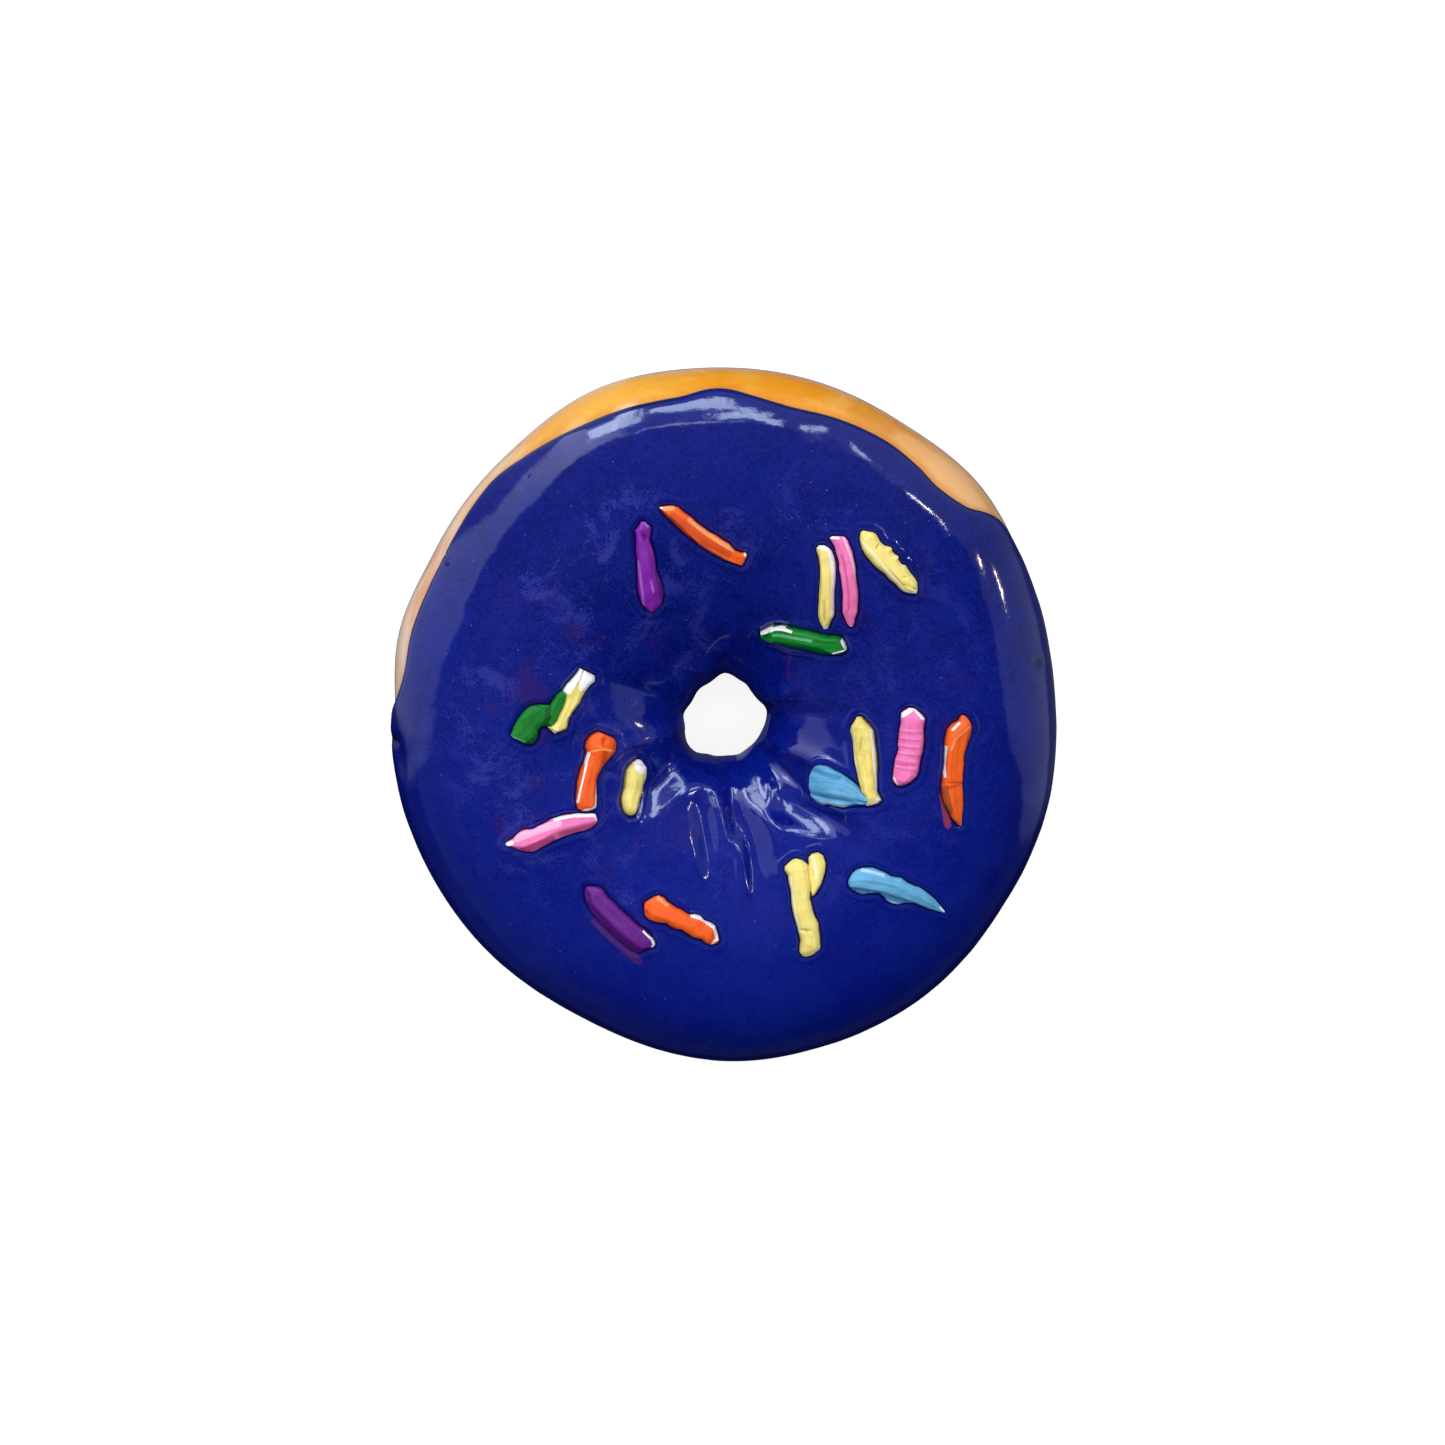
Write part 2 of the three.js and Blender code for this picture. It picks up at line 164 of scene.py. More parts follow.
def puckersAt(degrees, radius):
    total = np.zeros(np.shape(radius))
    for angle, depth, width, reach in ring["puckers"]:
        away = np.radians(degrees - angle)
        fade = 1 - smooth(radius, reach*0.45, reach)
        shape = depth*fade*np.exp(-np.abs(radius*np.sin(away)/width)**1.5)
        total = total + np.where(np.cos(away) > 0, shape, 0)
    return total


def unevennessAt(station, degrees, outline):
    total = np.zeros(np.broadcast(station, degrees).shape)
    for size, turns, phase, climb in ring["lumps"]:
        total = total + size*np.sin(turns*np.radians(degrees) + phase + climb*station)
    for angle, middle, depth, size in ring["dents"]:
        away = np.radians(degrees - angle)
        far = (outline*np.sin(away))**2 + ((station - middle)*8)**2
        total = total + np.where(np.cos(away) > 0, depth*np.exp(-far/size**2), 0)
    return total


def pressedHeight(x, y, before, depth):  # depth is how far below the icing's surface
    top, height = smooth(before, *ring["facetHeights"]), before
    for atX, atY, atZ, slope, facing, turn, long, wide, share in ring["facets"]:
        right, ahead = x - atX, y - atY
        slope, facing, turn = math.radians(slope), math.radians(facing), math.radians(turn)
        along = (right*math.cos(turn) + ahead*math.sin(turn))/long
        across = (ahead*math.cos(turn) - right*math.sin(turn))/wide
        weight = np.exp(-np.abs(along)**3 - np.abs(across)**3)
        fall = math.tan(slope)*(math.cos(facing)*right + math.sin(facing)*ahead)
        height = height + share*weight*top*(atZ - fall - depth - height)
    return height


def surfacePoint(station, degrees, edges=None, coat=None):  # coat: how far off the crust, in mm
    outline, hole = around(ring["outlineRadii"], degrees), around(ring["holeRadii"], degrees)

    def place(at):
        share, height = sectionAt(at)
        return hole + share*(outline - hole), height

    radius, height = place(station)
    radiusBefore, heightBefore = place(station - 0.001)
    radiusAfter, heightAfter = place(station + 0.001)
    out, up = heightAfter - heightBefore, radiusBefore - radiusAfter
    length = np.hypot(out, up)
    offset = (puckersAt(degrees, radius)*smooth(height, *ring["puckerHeights"])
              + unevennessAt(station, degrees, outline)*smooth(height, *ring["unevenHeights"]))
    if coat is None:
        outer, inner = icingEdges(degrees) if edges is None else edges
        share = np.clip(np.minimum(station - outer, inner - station)/ring["lipWidth"], 0, 1)
        coat = ring["icingThickness"]*np.sqrt(1 - (1 - share)**2)
    reach = radius + out/length*(offset + coat)
    x, y = reach*np.cos(np.radians(degrees)), reach*np.sin(np.radians(degrees))
    height = pressedHeight(x, y, height + up/length*(offset + coat), ring["icingThickness"] - coat)
    return np.stack([x, y, height], -1)


def icingPoint(x, y):  # the icing above a place in plan
    x, y = np.asarray(x, float), np.asarray(y, float)
    radius, degrees = np.hypot(x, y), np.degrees(np.arctan2(y, x))
    edges = icingEdges(degrees)

    def isOutside(station):
        point = surfacePoint(station, degrees, edges)
        return np.hypot(point[..., 0], point[..., 1]) > radius

    station = halve(np.zeros(x.shape), np.zeros(x.shape) + 7, isOutside)
    return surfacePoint(station, degrees, edges)


def icingNormal(x, y, step=1.2):
    alongX = icingPoint(x + step, y) - icingPoint(x - step, y)
    alongY = icingPoint(x, y + step) - icingPoint(x, y - step)
    return unit(np.cross(alongX, alongY))


def unit(vectors):
    return vectors/np.linalg.norm(vectors, axis=-1, keepdims=True)


def waves(points, wavelength, seed, count=16):  # smooth random unevenness, about -1 to 1
    draw = np.random.default_rng(seed)
    directions = unit(draw.normal(size=(count, 3)))
    lengths = wavelength*draw.uniform(0.7, 1.5, count)
    phases = draw.uniform(0, 2*math.pi, count)
    return np.sin(points @ directions.T*(2*math.pi/lengths) + phases).sum(-1)/math.sqrt(count)


# Meshes
def netFaces(lines, size, wrapsLines):  # quads between closed rows of the same size
    line = np.arange(lines if wrapsLines else lines - 1)[:, None]
    row = np.arange(size)[None, :]
    after, above = (line + 1) % lines, (row + 1) % size
    corners = [line*size + row, after*size + row, after*size + above, line*size + above]
    return np.stack(corners, -1).reshape(-1, 4)


def makePiece(name, points, faces, finish, slot, values=None):
    mesh = bpy.data.meshes.new(name)
    mesh.from_pydata((points*millimetre).tolist(), [], [list(map(int, face)) for face in faces])
    mesh.shade_smooth()
    for label, numbers in (values or {}).items():
        mesh.attributes.new(label, "FLOAT", "POINT").data.foreach_set("value", np.float32(numbers))
    mesh.materials.append(finish)
    piece = bpy.data.objects.new(name, mesh)
    bpy.context.scene.collection.objects.link(piece)
    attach(piece, "root")
    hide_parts("doughnut")
    print(f"{name}: {len(points)} points, {len(faces)} faces")
    return piece


# Shader maths
class Signal:  # a socket that can be used in sums
    def __init__(self, socket):
        self.socket = socket

    def math(self, operation, *terms):
        return add(self.socket.id_data, "ShaderNodeMath", {"operation": operation}, dict(enumerate(terms)))

    def __add__(self, other):
        return self.math("ADD", self, other)

    def __sub__(self, other):
        return self.math("SUBTRACT", self, other)

    def __rsub__(self, other):
        return self.math("SUBTRACT", other, self)

    def __mul__(self, other):
        return self.math("MULTIPLY", self, other)

    def __truediv__(self, other):
        return self.math("DIVIDE", self, other)

    def __pow__(self, other):
        return self.math("POWER", self, other)

    __radd__ = __add__
    __rmul__ = __mul__


def add(tree, kind, settings=None, sockets=None, output=0):  # any node, and one of its outputs
    node = tree.nodes.new(kind)
    for name, value in (settings or {}).items():
        if name == "stops":
            fillRamp(node.color_ramp, value)
        else:
            setattr(node, name, value)
    inputs = {socket.identifier: socket for socket in node.inputs} | dict(enumerate(node.inputs))
    for name, value in (sockets or {}).items():
        if isinstance(value, Signal):
            tree.links.new(value.socket, inputs[name])
        else:
            inputs[name].default_value = value
    outputs = {socket.identifier: socket for socket in node.outputs} | dict(enumerate(node.outputs))
    return Signal(outputs[output]) if outputs else None


def fillRamp(ramp, stops):
    for position, _ in stops[1:-1]:
        ramp.elements.new(position)
    ramp.elements[0].position, ramp.elements[-1].position = stops[0][0], stops[-1][0]
    for element, (_, colour) in zip(ramp.elements, stops):
        element.color = (*colour, 1)


def newFinish(name):
    finish = bpy.data.materials.new(name)
    finish.use_nodes = True
    finish.node_tree.nodes.clear()
    return finish, finish.node_tree


def finishSurface(tree, sockets):
    shader = add(tree, "ShaderNodeBsdfPrincipled", {}, sockets)
    add(tree, "ShaderNodeOutputMaterial", {}, {"Surface": shader})


def inMillimetres(tree):
    place = add(tree, "ShaderNodeTexCoord", output="Object")
    return add(tree, "ShaderNodeVectorMath", {"operation": "SCALE"}, {0: place, "Scale": 1/millimetre})


def noise(tree, place, scale, detail=2.0, roughness=0.5, distortion=0.0, shift=0.0):
    place = add(tree, "ShaderNodeVectorMath", {"operation": "ADD"}, {0: place, 1: (shift, shift, shift)})
    return add(tree, "ShaderNodeTexNoise", {}, {"Vector": place, "Scale": scale, "Detail": detail,
                                                "Roughness": roughness, "Distortion": distortion})


def ease(tree, value, low, high):  # 0 below low, 1 above high
    return add(tree, "ShaderNodeMapRange", {"interpolation_type": "SMOOTHSTEP"},
               {"Value": value, "From Min": low, "From Max": high})


def curve(tree, value, knots):  # straight lines through (value, result) knots
    places, results = zip(*knots)
    start, length = places[0], places[-1] - places[0]
    low, span = min(results), max(results) - min(results)
    stops = [((place - start)/length, ((result - low)/span,)*3) for place, result in knots]
    return add(tree, "ShaderNodeValToRGB", {"stops": stops}, {"Fac": (value - start)/length})*span + low


def mix(tree, amount, first, second, mode="MIX"):
    first, second = ((*c, 1) if isinstance(c, tuple) else c for c in (first, second))
    return add(tree, "ShaderNodeMix", {"data_type": "RGBA", "blend_type": mode},
               {"Factor_Float": amount, "A_Color": first, "B_Color": second}, "Result_Color")


def stored(tree, name):  # a value that the mesh holds at each point
    return add(tree, "ShaderNodeAttribute", {"attribute_name": name}, output="Fac")


def bump(tree, height, distance, under=None): # distance is how high 1 stands, in mm
    sockets = {"Strength": 1.0, "Distance": distance*millimetre, "Height": height}
    if under is not None:
        sockets["Normal"] = under
    return add(tree, "ShaderNodeBump", {}, sockets)


# Finishes
blueSettings = {
    "deep": (0.0010, 0.0044, 0.124),
    "deepPaintedLight": (0.0014, 0.0066, 0.205),  # painted light: the same blue made lighter towards -Y, to offset the shade there
    "cloudy": (0.0030, 0.0125, 0.225),
    "lilac": (0.030, 0.036, 0.29),
    "plum": (0.026, 0.008, 0.13),
    "pooledGlazeAndShade": (0.0004, 0.0012, 0.03),  # where the glaze runs thick beside a bar, darkened as painted shade in the groove there and in pinholes
    "lip": (0.002, 0.018, 0.035),  # thin over the crust along its edge
    "speck": (0.10, 0.14, 0.40),
    "orangeFilm": (0.42, 0.06, 0.015),
    "purpleFilm": (0.11, 0.02, 0.17),
    "speckAmount": 0.6,
    "lilacAmount": 0.75,
    "plumAmount": 0.7,
    "filmAmount": 0.6,
    "lipAmount": 0.85,
    "pooledGlazeAndShadeAmount": 0.8,
    "roughness": 0.05,
    "roughnessSpread": 0.06,
    "index": 1.52,
    # heights in mm
    "waviness": 0.02,
    "orangePeel": 0.01,
    "pinhole": 0.06,
}


def blueGlaze():
    finish, tree = newFinish("blueGlaze")
    place = inMillimetres(tree)
    broad = noise(tree, place, 0.055, 3.0, 0.6, 0.6)
    patchy = noise(tree, place, 0.23, 5.0, 0.65, 0.4)
    fine = noise(tree, place, 1.3, 3.0, 0.6)
    grain = noise(tree, place, 3.4, 2.0, 0.6)
    cloud = ease(tree, broad*0.5 + patchy*0.8 + fine*0.5 + grain*0.7, 1.05, 1.45)
    x, y, z = (add(tree, "ShaderNodeSeparateXYZ", {}, {"Vector": place}, axis) for axis in "XYZ")
    # painted light and shade: the blue is lighter towards -Y and darker towards +Y, to even out the light
    # that falls from +Y
    deep = mix(tree, ease(tree, y, -42.0, 30.0), blueSettings["deepPaintedLight"], blueSettings["deep"])
    colour = mix(tree, cloud, deep, blueSettings["cloudy"])
    # painted shade: darker still towards +Y
    colour = mix(tree, ease(tree, y, 0.0, 36.0)*0.45, colour, blueSettings["deep"])
    colour = mix(tree, ease(tree, grain*0.6 + fine*0.4, 0.44, 0.62)*0.35, colour, blueSettings["cloudy"])
    # lilac and plum clouds in the glaze, on top and more of them towards -X
    share = (0.95 - ease(tree, x, -20.0, 15.0)*0.6)*(0.15 + ease(tree, y, -38.0, -8.0)*0.85)
    share = share*ease(tree, z, 14.0, 20.0)*(1 - ease(tree, (x*x + y*y)**0.5, 34.0, 40.0))
    lilac = ease(tree, noise(tree, place, 0.15, 5.0, 0.68, 0.7, 31.0) + (grain - 0.5)*0.25, 0.51, 0.67)
    plum = ease(tree, noise(tree, place, 0.13, 5.0, 0.68, 0.7, 77.0) + (grain - 0.5)*0.25, 0.55, 0.7)
    colour = mix(tree, lilac*share*blueSettings["lilacAmount"], colour, blueSettings["lilac"])
    colour = mix(tree, plum*share*blueSettings["plumAmount"], colour, blueSettings["plum"])
    cells = add(tree, "ShaderNodeTexVoronoi", {}, {"Vector": place, "Scale": 0.42, "Randomness": 1.0})
    speck = 1 - ease(tree, cells, 0.02, 0.06)
    colour = mix(tree, speck*blueSettings["speckAmount"], colour, blueSettings["speck"])
    for name in ("orangeFilm", "purpleFilm"):
        film = ease(tree, stored(tree, name) + (grain - 0.5)*0.8, 0.3, 0.8)
        colour = mix(tree, film*blueSettings["filmAmount"], colour, blueSettings[name])
    colour = mix(tree, stored(tree, "lip")*blueSettings["lipAmount"], colour, blueSettings["lip"])
    # painted shade: the grooves round the bars and the pits are darkened, over glaze that runs thick there
    colour = mix(tree, stored(tree, "gap")*blueSettings["pooledGlazeAndShadeAmount"], colour, blueSettings["pooledGlazeAndShade"])
    holes = add(tree, "ShaderNodeTexVoronoi", {}, {"Vector": place, "Scale": 0.12, "Randomness": 1.0})
    pinhole = 1 - ease(tree, holes, 0.015, 0.035)
    normal = bump(tree, noise(tree, place, 0.42), blueSettings["waviness"])
    normal = bump(tree, fine, blueSettings["orangePeel"], normal)
    normal = bump(tree, 1 - pinhole, blueSettings["pinhole"], normal)
    finishSurface(tree, {
        "Base Color": colour,
        "Roughness": fine*blueSettings["roughnessSpread"] + blueSettings["roughness"],
        "IOR": blueSettings["index"],
        "Normal": normal,
    })
    return finish


tanSettings = {
    "golden": (0.82, 0.30, 0.006),
    "bright": (0.92, 0.485, 0.055),
    "pale": (0.91, 0.505, 0.2),
    "peach": (0.92, 0.65, 0.42),
    "streak": (0.68, 0.21, 0.010),  # brush marks, and a deeper orange beside the icing that is partly painted shade under its edge
    "warm": (1.0, 0.6, 0.2),  # fine mottling
    # painted light: paler crust round its widest part
    "rim": (0.82, 0.60, 0.43),
    # painted shade and glaze overlap: a dark line on the crust along the icing's edge
    "edgeShadeLine": (0.02, 0.04, 0.035),
    "under": (0.55, 0.33, 0.14),
    "holeGlazeAndShade": (0.003, 0.006, 0.09),  # blue that has run down the hole, dark as painted shade
    "holeGlazeAndShadeFade": (12.0, 16.0),  # the radii between which that blue ends
    "wander": 26,  # how far the colours' borders stray, in mm
    "roughness": 0.08,
    "roughnessSpread": 0.16,
    "index": 1.5,
    # heights in mm
    "waviness": 0.05,
    "streakHeight": 0.03,
}


def tanGlaze():
    finish, tree = newFinish("tanGlaze")
    place = inMillimetres(tree)
    x, y, z = (add(tree, "ShaderNodeSeparateXYZ", {}, {"Vector": place}, axis) for axis in "XYZ")
    radius = (x*x + y*y)**0.5
    # streaks run round the ring: slow along it, quick across it
    brushed = add(tree, "ShaderNodeCombineXYZ", {}, {
        "X": x/radius*3.2, "Y": y/radius*3.2, "Z": radius*0.35 + z*0.55})
    streaks = noise(tree, brushed, 1.0, 4.0, 0.6, 0.3)
    patchy = noise(tree, place, 0.11, 4.0, 0.6, 0.5)
    fine = noise(tree, place, 1.1, 4.0, 0.6)
    wander = (patchy - 0.5)*tanSettings["wander"]
    brightness = ease(tree, streaks*0.5 + patchy*0.5, 0.44, 0.6)*0.5 + ease(tree, 0 - x, 2.0, 14.0)*0.6
    colour = mix(tree, brightness, tanSettings["golden"], tanSettings["bright"])
    colour = mix(tree, ease(tree, x + wander, 12.0, 36.0), colour, tanSettings["pale"])
    colour = mix(tree, ease(tree, wander - x, 22.0, 40.0), colour, tanSettings["peach"])
    colour = mix(tree, ease(tree, streaks, 0.5, 0.7)*0.6, colour, tanSettings["streak"])
    colour = mix(tree, (fine - 0.5)*0.5, colour, tanSettings["warm"])
    # painted light: paler round the widest part, a painted sheen where the crust turns away from the light
    # above
    rim = ease(tree, stored(tree, "rim") + (fine - 0.5)*0.4 + (patchy - 0.5)*0.6, 0.3, 1.0)
    colour = mix(tree, rim*0.7, colour, tanSettings["rim"])
    isUnder = 1 - ease(tree, z + (patchy - 0.5)*3, 1.0, 5.0)
    colour = mix(tree, isUnder*0.6, colour, tanSettings["under"])
    fromIcing = stored(tree, "fromIcing") + (fine - 0.5)*0.25
    # painted shade in part: deeper orange on the crust beside the icing
    nearIcing = 1 - ease(tree, fromIcing + (patchy - 0.5)*1.2, 0.3, 1.8)
    colour = mix(tree, nearIcing*0.5, colour, tanSettings["streak"])
    # painted shade: a dark line on the crust just under the icing's edge, where the blue also overlaps
    colour = mix(tree, (1 - ease(tree, fromIcing, 0.02, 0.3))*0.85, colour, tanSettings["edgeShadeLine"])
    # blue run down the hole, darkened as painted shade
    holeGlazeAndShade = 1 - ease(tree, radius, *tanSettings["holeGlazeAndShadeFade"])
    colour = mix(tree, holeGlazeAndShade*0.9, colour, tanSettings["holeGlazeAndShade"])
    normal = bump(tree, noise(tree, place, 0.35), tanSettings["waviness"])
    normal = bump(tree, streaks, tanSettings["streakHeight"], normal)
    finishSurface(tree, {
        "Base Color": colour,
        "Roughness": streaks*tanSettings["roughnessSpread"] + tanSettings["roughness"],
        "IOR": tanSettings["index"],
        "Normal": normal,
    })
    return finish


claySettings = {
    "clay": (0.66, 0.56, 0.44),
    "stain": (0.42, 0.30, 0.19),
    "grit": (0.30, 0.24, 0.18),
    "roughness": 0.75,
    "roughnessSpread": 0.15,
    "grainHeight": 0.06,
    "gritDepth": 0.04,
}


def bareClay():
    finish, tree = newFinish("bareClay")
    place = inMillimetres(tree)
    patchy = noise(tree, place, 0.12, 5.0, 0.6)
    grain = noise(tree, place, 3.0, 4.0, 0.7)
    cells = add(tree, "ShaderNodeTexVoronoi", {}, {"Vector": place, "Scale": 0.8, "Randomness": 1.0})
    grit = 1 - ease(tree, cells, 0.05, 0.12)
    colour = mix(tree, ease(tree, patchy, 0.45, 0.75)*0.5, claySettings["clay"], claySettings["stain"])
    colour = mix(tree, grit*0.6, colour, claySettings["grit"])
    normal = bump(tree, grain, claySettings["grainHeight"])
    normal = bump(tree, 1 - grit, claySettings["gritDepth"], normal)
    roughness = grain*claySettings["roughnessSpread"] + claySettings["roughness"]
    finishSurface(tree, {"Base Color": colour, "Roughness": roughness, "Normal": normal})
    return finish


# pale and deep are the colours of the lighter and darker strokes, mostly painted highlight and painted
# shade
paintSettings = {
    "orange": {"colour": (0.95, 0.125, 0.010), "shade": (0.76, 0.08, 0.005), "light": (1.0, 0.22, 0.04),
               "pale": (1.0, 0.38, 0.14), "deep": (0.52, 0.045, 0.004), "thin": (0.22, 0.06, 0.02),
               "roughness": 0.54},
    "yellow": {"colour": (0.88, 0.74, 0.21), "shade": (0.74, 0.58, 0.12), "light": (0.93, 0.84, 0.36),
               "pale": (0.96, 0.90, 0.56), "deep": (0.56, 0.40, 0.07), "thin": (0.30, 0.22, 0.05),
               "roughness": 0.54},
    "pink": {"colour": (0.90, 0.20, 0.47), "shade": (0.74, 0.11, 0.32), "light": (0.95, 0.34, 0.60),
             "pale": (0.95, 0.50, 0.70), "deep": (0.52, 0.04, 0.2), "thin": (0.35, 0.05, 0.2),
             "roughness": 0.54},
    "green": {"colour": (0.002, 0.20, 0.016), "shade": (0.001, 0.12, 0.008), "light": (0.012, 0.31, 0.045),
              "pale": (0.16, 0.52, 0.25), "deep": (0.001, 0.06, 0.01), "thin": (0.0, 0.05, 0.02),
              "roughness": 0.46},
    "sky": {"colour": (0.125, 0.40, 0.64), "shade": (0.06, 0.26, 0.47), "light": (0.26, 0.54, 0.75),
            "pale": (0.42, 0.66, 0.82), "deep": (0.025, 0.14, 0.33), "thin": (0.01, 0.10, 0.22),
            "roughness": 0.54},
    "purple": {"colour": (0.22, 0.016, 0.37), "shade": (0.12, 0.008, 0.22), "light": (0.31, 0.04, 0.47),
               "pale": (0.44, 0.14, 0.59), "deep": (0.045, 0.008, 0.13), "thin": (0.05, 0.015, 0.2),
               "roughness": 0.46},
    "bareClay": (0.90, 0.90, 0.87),
    "pooledGlazeAndShade": (0.003, 0.005, 0.035),  # icing glaze that has crept up a bar's foot, and painted shade where the bar meets the icing
    "amounts": {"deep": 0.65, "pale": 0.85, "thin": 0.75},
    "roughnessSpread": 0.3,
    "index": 1.35,
    # heights in mm
    "streakHeight": 0.1,
    "patchHeight": 0.08,
    "grainHeight": 0.012,
}


def paintFinish(colour):
    settings = paintSettings[colour]
    finish, tree = newFinish(colour + "Paint")
    place = inMillimetres(tree)
    along, across = stored(tree, "along"), stored(tree, "across")
    brushed = add(tree, "ShaderNodeCombineXYZ", {}, {"X": along*0.35, "Y": across*2.2, "Z": 0.0})
    streaks = noise(tree, brushed, 1.0, 4.0, 0.6, 0.4)
    patchy = noise(tree, place, 0.7, 4.0, 0.6, 0.3)
    fine = noise(tree, place, 5.0, 3.0, 0.6)
    isShade = ease(tree, streaks*0.6 + patchy*0.5 + stored(tree, "tone"), 0.5, 0.8)
    result = mix(tree, isShade, settings["colour"], settings["shade"])
    result = mix(tree, ease(tree, streaks*0.5 + fine*0.5, 0.52, 0.75)*0.5, result, settings["light"])
    uneven = (streaks - 0.5)*0.7 + (fine - 0.5)*0.4
    # pale strokes are mostly painted highlight and deep strokes mostly painted shade, on the bars' facets
    # and in dents; thin is thinned paint
    for name, amount in paintSettings["amounts"].items():
        stroke = ease(tree, stored(tree, name) + uneven, 0.25, 0.75)
        result = mix(tree, stroke*amount, result, settings[name])
    isBare = ease(tree, stored(tree, "bare") + (patchy - 0.5)*0.5 + (fine - 0.5)*0.3, 0.4, 0.6)
    result = mix(tree, isBare, result, paintSettings["bareClay"])
    # painted shade, with glaze crept up: dark blue low on a bar, where it meets the icing
    low = 1 - ease(tree, stored(tree, "rise") + (fine - 0.5)*0.15, -0.05, 0.2)
    result = mix(tree, low*0.7, result, paintSettings["pooledGlazeAndShade"])
    normal = bump(tree, streaks, paintSettings["streakHeight"])
    normal = bump(tree, patchy, paintSettings["patchHeight"], normal)
    normal = bump(tree, fine, paintSettings["grainHeight"], normal)
    finishSurface(tree, {
        "Base Color": result,
        "Roughness": (patchy - 0.5)*paintSettings["roughnessSpread"] + settings["roughness"],
        "IOR": paintSettings["index"],
        "Normal": normal,
    })
    return finish


icingFinish, crustFinish, footFinish = blueGlaze(), tanGlaze(), bareClay()
print("finishes made")

# Sprinkle bars
# path is the middle line in plan, and reach how far the bar goes along it, in shares of the path.
# left and right are the outline: (share, how far across). ridges are lines along the top, from
# right to left: (share, across, share of the height). edges is how high the left and right edges
# are. bumps and the strokes of colour run from one place to another: (share, across, share,
# across, radius), and a bump's height comes last. bare is clay without paint, and thin is paint
# that has thinned. pale and deep are a lighter and a darker stroke: mostly painted highlight on
# facets that face the light and painted shade on facets turned away from it and in dents, some
# of them the paint's own tone.
barDefaults = {
    "reach": (0, 1),
    "ridges": None,
    "edges": (0.6, 0.6),
    "flat": 0.45,  # the share of the width between plain ridges
    "rise": [(0, 0.6), (0.08, 1), (0.92, 1), (1, 0.6)],  # a plain bar's height along it
    "bumps": [],
    "bare": [],
    "pale": [],
    "deep": [],
    "thin": [],
    "softness": {"bare": 0.09, "pale": 0.2, "deep": 0.35, "thin": 0.3},  # of the strokes' edges, in mm
    "tone": 0,  # above 0: a darker bar
    "sink": 1.2,  # how far it goes down into the icing, in mm
    "step": 0.11,  # between rows, in mm
    "lead": [0, 0.03, 0.08, 0.15, 0.24, 0.35],  # the closer rows at both ends, in mm
    "columns": 33,
    "belly": [(1, -0.4), (0.97, -1), (0, -1), (-0.97, -1), (-1, -0.4)],  # the side inside the icing
    "rounding": 0.32,  # radius of the ends' upper edge
    "edge": 12,  # the higher, the sharper the long edges
    # height and wavelength in mm
    "brushMarks": (0.03, 0.7),
    "lumps": (0.035, 2.0),
    "wobble": (0.05, 2.2),
}
